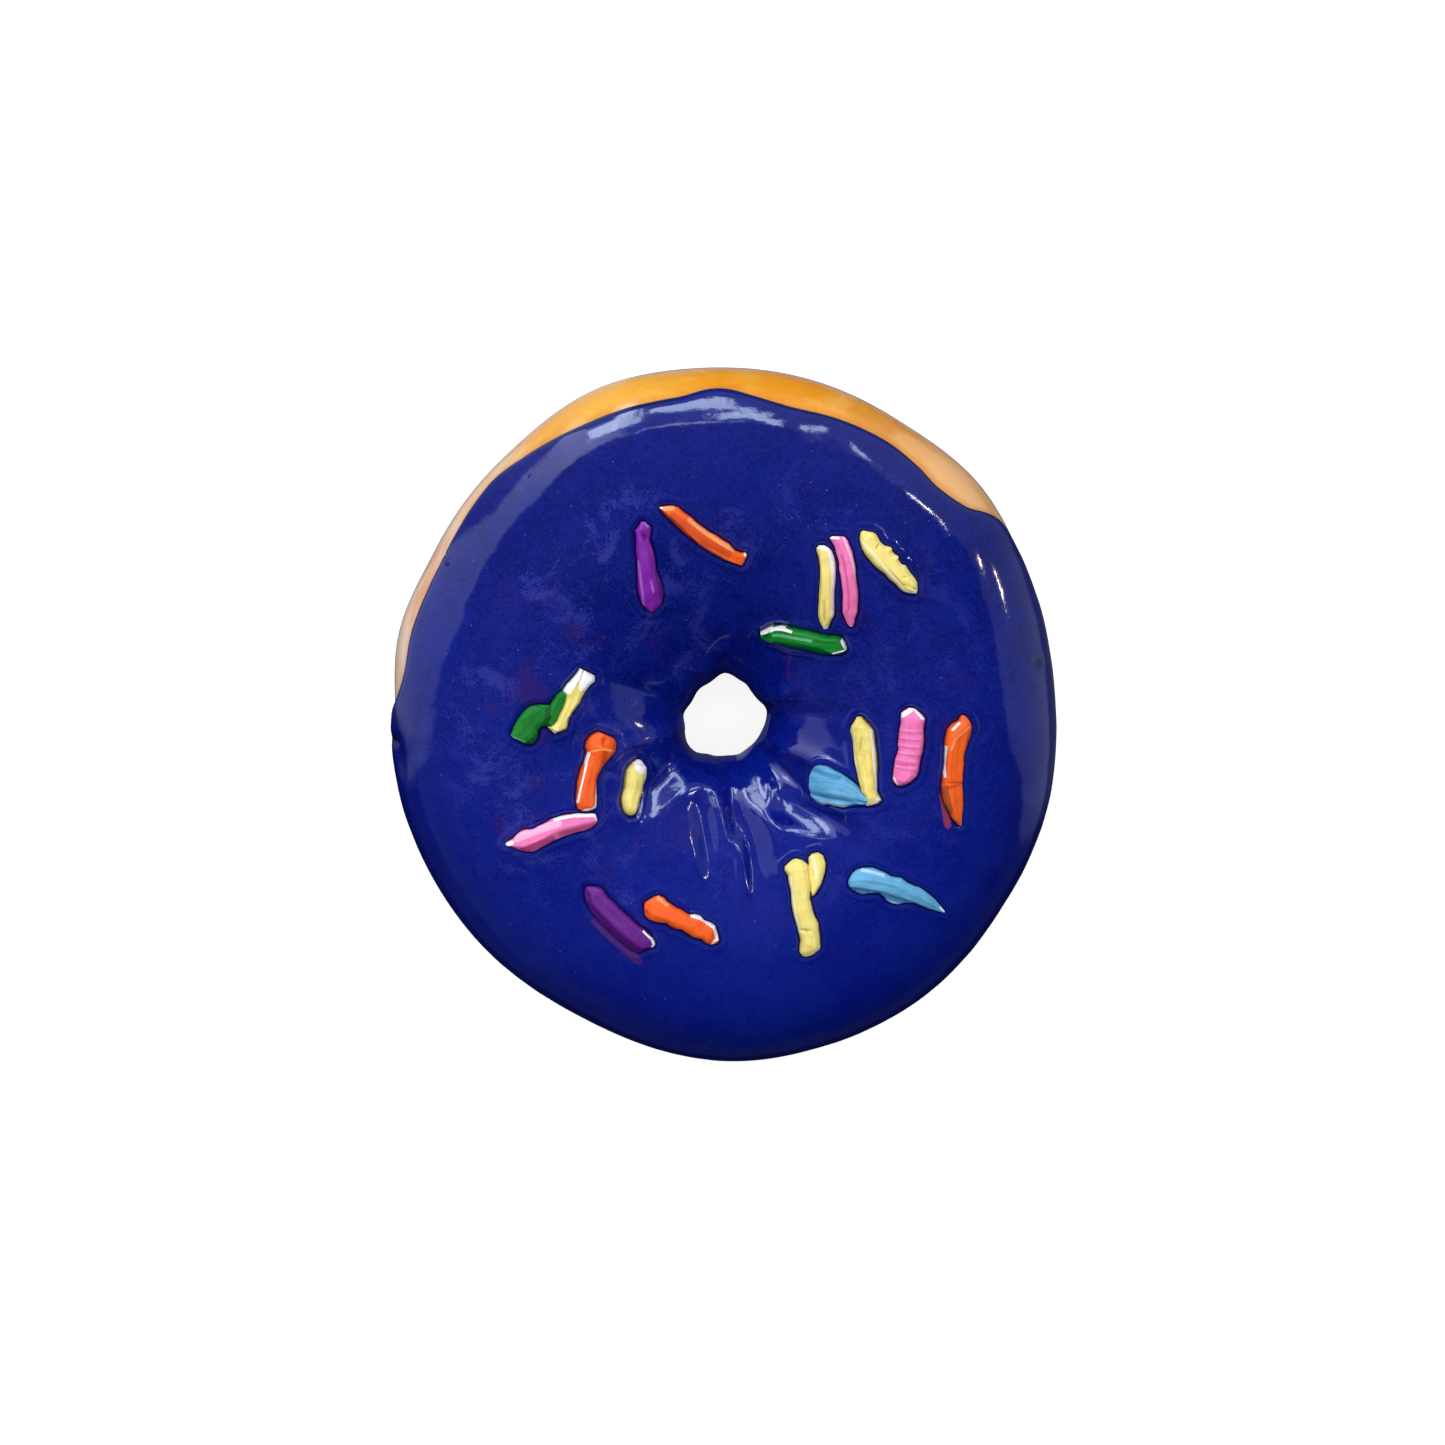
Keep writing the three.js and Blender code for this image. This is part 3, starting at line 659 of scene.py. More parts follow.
bars = {
    "orange": [
        {"path": [(-8.7, 30.2), (-3.3, 26.2), (2.9, 23.2)], "height": 1.1, "reach": (-0.01, 0.99),
         "left": [(-0.01, 0.1), (0.02, 0.6), (0.07, 1.35), (0.13, 1.7), (0.3, 1.65), (0.45, 1.45),
                  (0.6, 1.3), (0.7, 1.3), (0.78, 1.1), (0.87, 0.65), (0.92, 0.62), (0.97, 0.95),
                  (0.99, 0.7)],
         "right": [(-0.01, -0.1), (0.12, -0.25), (0.25, -0.45), (0.4, -0.7), (0.6, -0.95), (0.8, -1.1),
                   (0.97, -1), (0.99, -0.75)],
         "ridges": [[(0, 0, 0.7), (0.1, 0.1, 1), (0.3, -0.1, 1), (0.5, -0.5, 1), (0.9, -0.8, 0.9),
                     (1, -0.7, 0.6)],
                    [(0, 0.1, 0.7), (0.1, 1.2, 0.95), (0.3, 1.3, 0.9), (0.6, 1, 0.9), (0.9, 0.4, 0.9),
                     (1, 0.5, 0.6)]],
         "edges": (0.6, 0.15),
         "bare": [(-0.01, 0.05, 0.01, 0.15, 0.15), (0.965, 0.85, 0.985, 0.6, 0.2)],
         "pale": [(0.03, 0.3, 0.1, 1.1, 0.3), (0.3, 1.3, 0.85, 0.8, 0.25),
                  (0.5, -0.85, 0.97, -0.95, 0.15)],
         "deep": [(0.15, -0.3, 0.5, -0.8, 0.2), (0.15, 0.4, 0.8, 0, 0.5)]},
        {"path": [(-16.7, -1.7), (-18.1, -6.2), (-19, -11)], "height": 1.4, "reach": (-0.12, 1),
         "left": [(-0.12, 1.2), (-0.08, 1.8), (0, 2.2), (0.06, 2.2), (0.13, 1.9), (0.22, 1.45), (0.35, 1),
                  (0.5, 0.75), (0.58, 0.7), (0.7, 1), (0.8, 1.25), (0.9, 1.45), (0.94, 1.4), (0.98, 0.6),
                  (1, 0.1)],
         "right": [(-0.12, -1), (-0.06, -1.6), (0, -2), (0.07, -2.15), (0.14, -2), (0.2, -1.6),
                   (0.35, -1.6), (0.5, -1.75), (0.65, -1.75), (0.8, -1.5), (0.93, -1.3), (0.98, -1),
                   (1, -0.4)],
         "bumps": [(0, 0, 0.05, 0, 1.6, 0.5), (-0.02, -0.2, -0.02, -0.2, 0.4, -0.5)],
         "bare": [(0.6, 0.85, 0.9, 1.15, 0.22), (0.9, 1.3, 0.97, 0.5, 0.18),
                  (0.97, 0.2, 0.99, -0.3, 0.15), (0.2, -1.5, 0.9, -1.35, 0.1)],
         "pale": [(0.07, 1.3, 0.1, -0.4, 0.12), (0.1, -0.4, 0.18, -1.5, 0.12)],
         "deep": [(0.12, 0.3, 0.25, 0.5, 0.35), (-0.02, -0.2, -0.01, -0.2, 0.2)]},
        {"path": [(32.2, 1.7), (31.5, -5.4), (32.1, -13.2)], "height": 1.4, "reach": (-0.03, 1),
         "left": [(-0.03, 0.3), (0.02, 1.1), (0.07, 1.5), (0.13, 1.55), (0.25, 1.3), (0.4, 0.95),
                  (0.55, 0.8), (0.68, 0.85), (0.8, 0.75), (0.9, 0.45), (1, 0.1)],
         "right": [(-0.03, -0.2), (0.03, -0.5), (0.07, -1.2), (0.13, -1.7), (0.2, -1.85), (0.35, -1.8),
                   (0.5, -1.8), (0.65, -2.1), (0.75, -1.95), (0.85, -1.4), (0.93, -0.9), (1, -0.1)],
         "ridges": [[(0, 0.1, 0.6), (0.06, 0.6, 0.9), (0.12, -0.2, 1), (0.2, -1, 1), (0.35, -1.2, 1),
                     (0.6, -1.5, 1), (0.66, -0.9, 0.9), (0.8, -0.8, 0.85), (0.93, -0.5, 0.7),
                     (1, 0, 0.4)]],
         "bumps": [(0.62, 0.6, 0.6, -1.5, 0.15, -0.25)],
         "bare": [(0.05, -0.5, 0.12, -1.3, 0.15), (0.28, -1.75, 0.55, -1.8, 0.1)],
         "pale": [(0.93, 0.3, 0.99, 0.1, 0.15), (0.07, 0.9, 0.2, -0.8, 0.12),
                  (0.2, -0.8, 0.3, -1.2, 0.12)],
         "deep": [(0.63, 0.3, 0.63, -1.2, 0.2)],
         "thin": [(0.12, 1.3, 0.4, 0.85, 0.3), (0.65, -1.8, 0.85, -1.3, 0.35)]},
        {"path": [(-10.3, -24.3), (-5.8, -26.2), (-1.2, -28.2)], "height": 1.3,
         "reach": (-0.09, 1.06),
         "left": [(-0.09, 0.6), (-0.05, 1.2), (0, 1.8), (0.06, 2.15), (0.13, 2.2), (0.2, 1.8),
                  (0.3, 1.65), (0.4, 1.55), (0.5, 1.4), (0.55, 1.4), (0.62, 1.7), (0.7, 1.75),
                  (0.78, 1.35), (0.85, 1.4), (0.93, 1.35), (0.98, 0.8), (1.03, 0.1), (1.06, -0.4)],
         "right": [(-0.09, 0.4), (-0.06, -0.4), (-0.02, -1), (0.05, -1.4), (0.15, -1.35), (0.24, -1.2),
                   (0.3, -0.95), (0.36, -1.1), (0.45, -1.2), (0.53, -0.95), (0.6, -1.15), (0.7, -1.35),
                   (0.83, -1.1), (0.9, -1.35), (0.98, -1.35), (1.03, -1), (1.06, -0.6)],
         "bare": [(0.58, 1.4, 0.7, 1.55, 0.25), (0.7, 1.5, 0.92, 1.1, 0.22),
                  (0.92, 1.1, 1.03, -0.3, 0.22), (1, -0.4, 0.99, -1.1, 0.15)],
         "pale": [(0.05, 1.9, 0.2, 1.5, 0.25)],
         "deep": [(-0.03, -0.3, 0.05, -1.1, 0.25)]},
    ],
    "yellow": [
        {"path": [(13.1, 25.1), (13.5, 19.1), (13.9, 13.8)], "height": 1.3, "reach": (-0.01, 1),
         "left": [(-0.01, 0.3), (0.02, 0.9), (0.06, 1.3), (0.13, 1.6), (0.2, 1.7), (0.35, 1.55),
                  (0.5, 1.4), (0.65, 1.25), (0.78, 1.2), (0.83, 1), (0.88, 0.6), (0.94, 0.3), (1, 0.1)],
         "right": [(-0.01, -0.4), (0.02, -0.75), (0.05, -0.7), (0.12, -0.5), (0.25, -0.45), (0.4, -0.6),
                   (0.55, -0.85), (0.7, -1), (0.82, -1.1), (0.88, -1), (0.94, -0.75), (1, -0.4)],
         "ridges": [[(0, -0.3, 0.6), (0.3, -0.1, 0.95), (0.8, -0.6, 0.9), (1, -0.3, 0.5)],
                    [(0, 0.3, 0.6), (0.1, 1, 1), (0.5, 0.8, 1), (0.8, 0.6, 0.9), (0.93, -0.1, 0.8),
                     (1, -0.15, 0.5)]],
         "edges": (0.6, 0.35),
         "bare": [(0, -0.5, 0.03, 0.7, 0.25), (0.06, 1.15, 0.3, 1.5, 0.28), (0.3, 1.45, 0.6, 1.15, 0.22),
                  (0.6, 1.15, 0.8, 0.9, 0.15), (0.95, -0.1, 0.99, -0.15, 0.3)],
         "deep": [(0.6, 0.1, 0.85, 0, 0.2)], "tone": -0.08},
        {"path": [(18.8, 26.7), (22.3, 22.8), (25.7, 18.9)], "height": 1.3, "reach": (-0.05, 1.02),
         "left": [(-0.05, 0.1), (0, 0.5), (0.05, 0.95), (0.1, 1.1), (0.2, 0.95), (0.28, 1.05),
                  (0.33, 1.3), (0.37, 1.45), (0.4, 1.15), (0.45, 1.25), (0.5, 1.45), (0.53, 1.1),
                  (0.6, 1.05), (0.65, 1.4), (0.75, 1.2), (0.85, 1.1), (0.92, 0.95), (0.98, 0.5),
                  (1.02, 0)],
         "right": [(-0.05, -0.2), (0, -0.85), (0.05, -1.2), (0.12, -1.6), (0.2, -1.8), (0.35, -1.85),
                   (0.5, -1.65), (0.65, -1.5), (0.8, -1.3), (0.9, -1.1), (0.97, -0.7), (1.02, -0.2)],
         "bumps": [(0.22, 0.3, 0.24, -0.2, 0.12, -0.2), (0.74, -0.1, 0.76, 0.1, 0.15, -0.2),
                   (0.82, -0.7, 0.95, 0, 0.12, -0.2), (0.35, 1.1, 0.36, 1.1, 0.3, 0.25),
                   (0.5, 1.2, 0.51, 1.2, 0.3, 0.25)],
         "bare": [(0.97, 0.6, 1, 0, 0.2), (0.9, -0.95, 0.99, -0.4, 0.2)],
         "pale": [(0.05, -1.1, 0.85, -1.1, 0.2)],
         "deep": [(0.22, 0.3, 0.23, -0.2, 0.15), (0.55, -0.9, 0.95, -0.7, 0.12),
                  (0.9, 0.2, 0.95, 0.1, 0.12)]},
        {"path": [(-18.5, 7.9), (-21.3, 2.3), (-22.8, -0.3)], "height": 1.2, "reach": (0, 1.12),
         "left": [(0, 1.1), (0.05, 1.4), (0.1, 0.95), (0.18, 0.7), (0.3, 0.65), (0.45, 0.4), (0.55, 0.3),
                  (0.65, 0.65), (0.72, 0.75), (0.8, 0.4), (0.9, 0.05), (1, -0.1), (1.12, -0.3)],
         "right": [(0, -1.3), (0.04, -1.35), (0.1, -1.55), (0.2, -2), (0.27, -2.1), (0.3, -1.5),
                   (0.4, -1.3), (0.6, -1.1), (0.8, -1.2), (0.9, -1.4), (1, -1.6), (1.1, -1.5),
                   (1.12, -1)],
         "bumps": [(0, -0.75, 0.14, -0.85, 0.12, -1.2)],
         "bare": [(0, 1.1, 0.06, -1.2, 0.7), (0.06, 0.5, 0.14, -0.2, 0.5), (0.03, -1.3, 0.25, -1.7, 0.4)],
         "pale": [(0.85, -0.6, 1.12, -0.9, 0.3)]},
        {"path": [(-11.8, -4.9), (-12.3, -8.4), (-12.9, -11.9)], "height": 1.3, "reach": (-0.06, 1),
         "left": [(-0.06, 0.1), (0, 0.6), (0.08, 1.05), (0.17, 1.25), (0.27, 1.2), (0.4, 1), (0.6, 0.95),
                  (0.8, 0.8), (0.9, 0.6), (0.97, 0.5), (1, 0)],
         "right": [(-0.06, -0.2), (0, -0.8), (0.1, -1.3), (0.2, -1.7), (0.35, -1.8), (0.5, -1.8),
                   (0.65, -1.9), (0.8, -1.7), (0.9, -1.3), (0.97, -0.8), (1, -0.2)],
         "bare": [(0.02, -0.1, 0.1, -0.2, 0.9)], "tone": -0.05,
         "pale": [(0.1, 0.9, 0.6, 0.75, 0.2)]},
        {"path": [(18.6, 1.4), (19.3, -4.5), (19.9, -10.3)], "height": 1.3, "reach": (-0.03, 1),
         "left": [(-0.03, 0), (0.02, 0.5), (0.07, 1), (0.13, 1.5), (0.2, 1.6), (0.35, 1.55), (0.5, 1.45),
                  (0.7, 1.25), (0.85, 1.1), (0.9, 1.3), (0.95, 1.55), (0.98, 1.1), (1, 0)],
         "right": [(-0.03, -0.5), (0.02, -0.9), (0.06, -1.3), (0.12, -1.6), (0.25, -1.5), (0.45, -1.5),
                   (0.6, -1.35), (0.75, -1.25), (0.83, -1.1), (0.9, -0.5), (0.95, -0.7), (1, -0.6)],
         "bare": [(0.93, 1.2, 0.99, 0.6, 0.25), (0.99, 0.5, 1, -0.6, 0.15), (0.12, 1.45, 0.4, 1.4, 0.1),
                  (0.4, 1.35, 0.85, 1.05, 0.1)],
         "pale": [(0.1, -1.4, 0.6, -1.3, 0.15)],
         "deep": [(0.4, 1.1, 0.8, 0.85, 0.08), (0.2, 0.2, 0.35, -0.3, 0.2)], "tone": 0.08},
        {"path": [(9.8, -18.4), (10.8, -24.6), (12.1, -30.9)], "height": 1.3, "reach": (-0.05, 1),
         "left": [(-0.05, 0.2), (-0.02, 1), (0.03, 1.6), (0.1, 1.65), (0.2, 1.55), (0.3, 1.35),
                  (0.4, 1.1), (0.5, 1.2), (0.6, 1.35), (0.68, 1.6), (0.75, 1.5), (0.83, 1.45), (0.9, 1.3),
                  (0.95, 1.1), (0.98, 0.3), (1, -0.6)],
         "right": [(-0.05, -0.3), (-0.02, -1), (0.02, -1.7), (0.06, -1.75), (0.12, -1.35), (0.25, -1.35),
                   (0.5, -1.5), (0.65, -1.35), (0.8, -1.3), (0.88, -1.55), (0.94, -1.7), (0.98, -1.5),
                   (1, -0.9)],
         "bumps": [(0.7, -1, 0.72, 0.2, 0.2, -0.25), (0.85, -0.3, 0.9, 0.3, 0.5, 0.15)],
         "pale": [(0.15, -1.2, 0.7, -1.25, 0.15), (0.9, 1.1, 0.97, 0, 0.15)],
         "deep": [(0.7, -0.4, 0.72, -0.2, 0.2), (-0.03, 1.35, 0.3, 1.3, 0.08)]},
        # a thin leaf of clay that has curled off the bar before it
        {"path": [(12.3, -17), (12.5, -19.6), (12, -22.8)], "height": 0.8,
         "left": [(0, 0.4), (0.1, 1), (0.3, 1.3), (0.5, 1.25), (0.75, 0.8), (0.9, 0.4), (1, 0.1)],
         "right": [(0, -0.4), (0.1, -0.9), (0.4, -1.2), (0.7, -0.9), (0.9, -0.5), (1, -0.1)],
         "pale": [(0.1, -0.3, 0.6, 0.1, 0.2)]},
    ],
    "pink": [
        {"path": [(15.1, 26.2), (16.9, 20.5), (17.2, 14.2)], "height": 1.3, "reach": (-0.04, 1),
         "left": [(-0.04, -0.5), (0, 0.5), (0.03, 0.95), (0.08, 1.2), (0.2, 1.2), (0.35, 1), (0.5, 0.85),
                  (0.7, 0.75), (0.85, 0.7), (0.9, 0.45), (0.96, 0.3), (1, 0.1)],
         "right": [(-0.04, -0.85), (0, -0.85), (0.1, -0.8), (0.2, -0.9), (0.35, -1.1), (0.5, -1.2),
                   (0.7, -1.35), (0.85, -1.35), (0.9, -1.1), (0.96, -0.75), (1, -0.3)],
         "ridges": [[(0, 0, 0.8), (0.2, 0.3, 1), (0.5, -0.1, 1), (0.85, -0.4, 0.9), (1, -0.1, 0.6)]],
         "edges": (0.55, 0.45),
         "bumps": [(0.2, -0.6, 0.8, -0.8, 0.12, -0.08)],
         "bare": [(-0.03, -0.7, 0.01, 0.1, 0.2), (0.985, -0.1, 1, -0.1, 0.15)],
         "pale": [(0.03, 0.8, 0.5, 0.9, 0.2)],
         "deep": [(0.2, -0.2, 0.8, -0.4, 0.15), (0.82, -0.75, 0.83, -0.75, 0.15)]},
        {"path": [(-29.7, -15.6), (-23.8, -13.5), (-17.4, -12.3)], "height": 1.2,
         "left": [(0, 0.3), (0.05, 0.45), (0.1, 0.5), (0.15, 0.85), (0.2, 1.15), (0.25, 1.15),
                  (0.3, 0.95), (0.36, 0.9), (0.45, 1.15), (0.55, 1.5), (0.63, 1.6), (0.75, 1.5),
                  (0.87, 1.25), (0.95, 1.1), (0.99, 0.9), (1, 0.4)],
         "right": [(0, 0.1), (0.05, -0.5), (0.1, -1.1), (0.17, -1.8), (0.25, -2.15), (0.35, -2),
                   (0.45, -1.7), (0.6, -1.3), (0.75, -1.1), (0.85, -1.1), (0.93, -0.9), (1, -0.3)],
         "ridges": [[(0, 0.1, 0.5), (0.1, -0.4, 0.8), (0.2, -0.9, 1), (0.35, -0.8, 1), (0.5, -0.3, 1),
                     (0.65, 0, 1), (0.8, 0, 0.95), (1, 0, 0.6)]],
         "edges": (0.6, 0.25),
         "bare": [(0.01, 0.15, 0.09, 0.15, 0.25), (0.58, 1.4, 0.8, 1.25, 0.2),
                  (0.8, 1.2, 0.97, 0.8, 0.25), (0.98, 0.6, 0.99, 0, 0.15)],
         "pale": [(0.15, 0.5, 0.6, 0.8, 0.5)],
         "deep": [(0.15, -1.4, 0.5, -1.1, 0.5), (0.6, -0.7, 0.95, -0.6, 0.3)]},
        {"path": [(25.4, 2.7), (24.8, -2.6), (23.8, -7.6)], "height": 1.3, "reach": (-0.04, 1),
         "left": [(-0.04, 0.3), (0, 0.9), (0.04, 1.5), (0.08, 1.85), (0.2, 1.85), (0.35, 2), (0.5, 2.1),
                  (0.6, 1.95), (0.75, 2), (0.82, 1.9), (0.9, 1.4), (0.97, 0.6), (1, -0.1)],
         "right": [(-0.04, -0.5), (0, -1.2), (0.03, -1.5), (0.1, -1.5), (0.15, -1.35), (0.3, -1.5),
                   (0.45, -1.4), (0.52, -1.15), (0.65, -1.4), (0.8, -1.3), (0.9, -1.2), (0.95, -1.1),
                   (1, -0.4)],
         "bumps": [(s, -1.3, s - 0.02, 1.7, 0.18, 0.12) for s in (0.25, 0.35, 0.45, 0.55, 0.65, 0.75)],
         "bare": [(-0.03, -0.1, 0.05, -1.2, 0.3), (-0.02, 0.4, 0.07, 1.6, 0.15),
                  (0.9, -1, 0.98, -0.3, 0.12)],
         "deep": [(0.67, 1.5, 0.7, -1, 0.1)]},
    ],
    "green": [
        {"path": [(4.9, 12.7), (10.9, 11.9), (16.8, 11)], "height": 1.5, "reach": (0, 0.98),
         "left": [(0, 0.4), (0.05, 1), (0.1, 1.5), (0.16, 1.75), (0.25, 1.85), (0.35, 1.75), (0.5, 1.65),
                  (0.65, 1.55), (0.75, 1.4), (0.85, 1.65), (0.9, 1.6), (0.95, 0.9), (0.98, 0.1)],
         "right": [(0, 0), (0.03, -0.35), (0.08, -0.7), (0.15, -1), (0.25, -1.2), (0.5, -1.3),
                   (0.7, -1.35), (0.85, -1.15), (0.92, -0.8), (0.96, -0.3), (0.98, 0)],
         "ridges": [[(0, 0.2, 0.5), (0.06, -0.1, 0.8), (0.15, -0.15, 1), (0.4, 0, 1), (0.7, 0.1, 1),
                     (0.78, -0.3, 1), (0.86, -0.55, 0.95), (0.93, -0.2, 0.8), (1, 0, 0.5)]],
         "edges": (0.75, 0.2),
         "bare": [(0.12, 1.6, 0.3, 1.7, 0.15), (0.3, 1.65, 0.4, 1.55, 0.1), (0.01, 0.5, 0.1, 1.4, 0.1),
                  (0.92, 1.3, 0.97, 0.3, 0.12), (0.85, -0.5, 0.97, 0, 0.12)],
         "pale": [(0.2, 0.9, 0.6, 0.9, 0.2)],
         "deep": [(0.1, -0.8, 0.85, -0.9, 0.3), (0.06, 0.2, 0.08, 0.9, 0.4)]},
        {"path": [(-24.3, 3.2), (-26.2, 0.9), (-28.6, -1.3)], "height": 1.2, "reach": (-0.12, 0.96),
         "left": [(-0.12, 0.8), (0, 1.3), (0.08, 1.7), (0.2, 1.75), (0.3, 1.6), (0.38, 1.1), (0.48, 1.1),
                  (0.53, 1.5), (0.62, 1.85), (0.75, 1.9), (0.82, 1.6), (0.88, 0.6), (0.93, -0.2),
                  (0.96, -0.8)],
         "right": [(-0.12, 0.2), (-0.05, -0.4), (0, -0.9), (0.1, -1.5), (0.2, -1.9), (0.35, -2.05),
                   (0.5, -2), (0.65, -1.75), (0.8, -1.5), (0.9, -1.2), (0.96, -1)],
         "pale": [(0.82, 1, 0.95, -0.9, 0.12)],
         "deep": [(0, 0.5, 0.3, 1.3, 0.5), (0.5, 1.4, 0.8, 1.4, 0.3)]},
        # a stroke of the same green that runs over the yellow bar beside it
        {"path": [(-21.9, 5.4), (-22.9, 3.1), (-23.9, 0.7)], "height": 1.0,
         "left": [(0, 0.2), (0.1, 0.6), (0.4, 0.9), (0.8, 0.8), (1, 0.2)],
         "right": [(0, -0.2), (0.1, -0.5), (0.4, -0.9), (0.8, -0.9), (1, -0.3)]},
    ],
    "sky": [
        {"path": [(12.3, -8), (16.4, -8.4), (20.3, -10)], "height": 1.4, "reach": (-0.02, 0.95),
         "left": [(-0.02, 1.5), (0, 2.2), (0.04, 2.7), (0.1, 2.9), (0.2, 2.8), (0.3, 2.4), (0.45, 1.9),
                  (0.6, 1.5), (0.7, 1.1), (0.78, 0.6), (0.9, 0.2), (0.95, 0)],
         "right": [(-0.02, -1.4), (0.02, -2), (0.08, -2.4), (0.17, -2.6), (0.28, -2.4), (0.4, -2.45),
                   (0.55, -2.3), (0.65, -1.9), (0.75, -1.4), (0.85, -0.9), (0.9, -0.6), (0.95, -0.3)],
         "ridges": [[(0, -1.8, 0.7), (0.2, -2, 0.7), (0.5, -1.9, 0.65), (0.8, -1.1, 0.5)],
                    [(0, -0.9, 0.6), (0.1, -1.1, 0.5), (0.3, -1.3, 0.45), (0.6, -1.2, 0.45),
                     (0.9, -0.6, 0.4)],
                    [(0, -0.4, 0.9), (0.2, -0.8, 0.95), (0.5, -0.9, 0.95), (0.9, -0.2, 0.7)],
                    [(0, 1, 0.8), (0.15, 1.2, 0.95), (0.3, 1.4, 0.95), (0.6, 1, 0.9), (0.9, 0.2, 0.7)]],
         "edges": (0.35, 0.4),
         "pale": [(0.05, -2.2, 0.6, -2, 0.25)],
         "deep": [(0.02, -1.1, 0.35, -1.35, 0.22), (0.35, -1.35, 0.8, -1.1, 0.2),
                  (0.05, 2.2, 0.4, 1.6, 0.3)]},
        {"path": [(17.4, -20.8), (23.9, -21.7), (30.2, -25.4)], "height": 1.2, "reach": (-0.04, 1),
         "left": [(-0.04, 0.2), (0, 1.1), (0.05, 1.7), (0.12, 2), (0.2, 2.05), (0.3, 1.6), (0.38, 1.3),
                  (0.43, 1.35), (0.48, 1.45), (0.55, 1.1), (0.62, 1), (0.67, 1.1), (0.75, 0.95),
                  (0.85, 0.65), (0.93, 0.4), (1, 0.05)],
         "right": [(-0.04, -0.4), (0, -1.1), (0.05, -1.5), (0.12, -1.7), (0.2, -1.5), (0.28, -1.3),
                   (0.33, -1.5), (0.4, -2.1), (0.48, -2.4), (0.55, -2.2), (0.62, -1.6), (0.7, -1.15),
                   (0.85, -0.95), (0.92, -0.55), (1, -0.05)],
         "ridges": [[(0, -0.9, 0.35), (0.15, -1.1, 0.35), (0.3, -1.1, 0.4), (0.5, -1.3, 0.35),
                     (0.7, -1.05, 0.4), (1, -0.1, 0.3)],
                    [(0, -0.6, 0.8), (0.15, -0.9, 0.9), (0.3, -0.9, 0.9), (0.6, -0.95, 0.8),
                     (0.85, -0.8, 0.5), (1, 0, 0.3)],
                    [(0, 0.3, 0.9), (0.2, 0.6, 1), (0.5, 0.2, 0.95), (0.8, 0, 0.75), (1, 0.05, 0.3)]],
         "edges": (0.45, 0.3),
         "bare": [(0.93, 0.2, 1, 0.05, 0.1)],
         "pale": [(0.4, -2.1, 0.55, -2.1, 0.12), (0.1, 1.7, 0.3, 1.4, 0.2)],
         "deep": [(0.03, -1.2, 0.18, -1.35, 0.25), (0.38, -1.6, 0.6, -1.5, 0.4),
                  (0, -0.75, 0.3, -0.95, 0.12)]},
    ],
    "purple": [
        {"path": [(-10.9, 28.2), (-10.4, 22.1), (-9.8, 16.2)], "height": 1.2, "reach": (-0.02, 1),
         "left": [(-0.02, 0.1), (0.02, 0.6), (0.05, 0.95), (0.1, 0.8), (0.18, 0.65), (0.25, 0.9),
                  (0.35, 1.05), (0.5, 1.15), (0.62, 1.45), (0.75, 1.75), (0.86, 1.7), (0.92, 1.4),
                  (0.97, 0.8), (1, 0.2)],
         "right": [(-0.02, -0.4), (0.03, -0.8), (0.07, -1.3), (0.15, -1.2), (0.3, -1.3), (0.5, -1.4),
                   (0.7, -1.6), (0.82, -1.55), (0.9, -1.3), (0.96, -0.7), (1, -0.1)],
         "ridges": [[(0, -0.4, 0.5), (0.07, -1, 0.8), (0.3, -0.9, 0.8), (0.5, -1, 0.85),
                     (0.8, -1.2, 0.85), (0.95, -0.5, 0.7)],
                    [(0, 0, 0.6), (0.06, -0.4, 1), (0.15, -0.4, 0.75), (0.3, 0.1, 0.9), (0.5, 0.2, 1),
                     (0.75, 0.4, 1), (0.93, 0.1, 0.8), (1, 0, 0.5)]],
         "edges": (0.35, 0.5), "tone": -0.1,
         "bumps": [(0.13, -0.2, 0.17, 0, 0.3, -0.25)],
         "pale": [(0.4, -1.2, 0.9, -1.2, 0.15), (0.62, 0.15, 0.75, 0.3, 0.12), (0, 0.1, 0.03, 0.5, 0.2)],
         "deep": [(0.55, 1.2, 0.85, 1.4, 0.35), (0.13, -0.2, 0.17, 0, 0.22)]},
        {"path": [(-18.1, -22), (-14.3, -25.6), (-10.2, -29.3)], "height": 1.3,
         "reach": (-0.1, 1.05),
         "left": [(-0.1, 0.1), (-0.04, 0.7), (0.02, 1.1), (0.08, 1.3), (0.2, 1.1), (0.4, 1.05), (0.6, 1),
                  (0.75, 0.95), (0.85, 1.1), (0.95, 1.05), (1.02, 0.8), (1.05, 0.5)],
         "right": [(-0.1, -0.3), (-0.04, -1), (0.04, -1.6), (0.15, -2), (0.3, -2.3), (0.5, -2.35),
                   (0.7, -2.35), (0.9, -2.3), (0.97, -2), (1, -1), (1.05, 0.1)],
         "ridges": [[(-0.1, -0.1, 0.5), (0, 0, 0.8), (0.05, -0.5, 1), (0.2, -1, 1), (0.5, -1.1, 1),
                     (0.8, -1, 1), (0.95, -0.8, 0.9), (1.05, 0.3, 0.5)]],
         "edges": (0.6, 0.15), "tone": 0.22,
         "bare": [(0.82, 0.95, 0.97, 0.85, 0.12), (0.97, 0.85, 1.04, 0.45, 0.18),
                  (1.02, 0.3, 1.03, 0, 0.08)],
         "deep": [(0.1, -1.7, 0.95, -1.8, 0.5), (-0.02, -0.6, 0.05, -0.8, 0.25)]},
    ],
}


def follow(path, shares):  # a smooth line through three points
    start, middle, end = np.array(path, float)
    t = shares[:, None]
    return (1 - t)*(1 - 2*t)*start + 4*t*(1 - t)*middle + t*(2*t - 1)*end


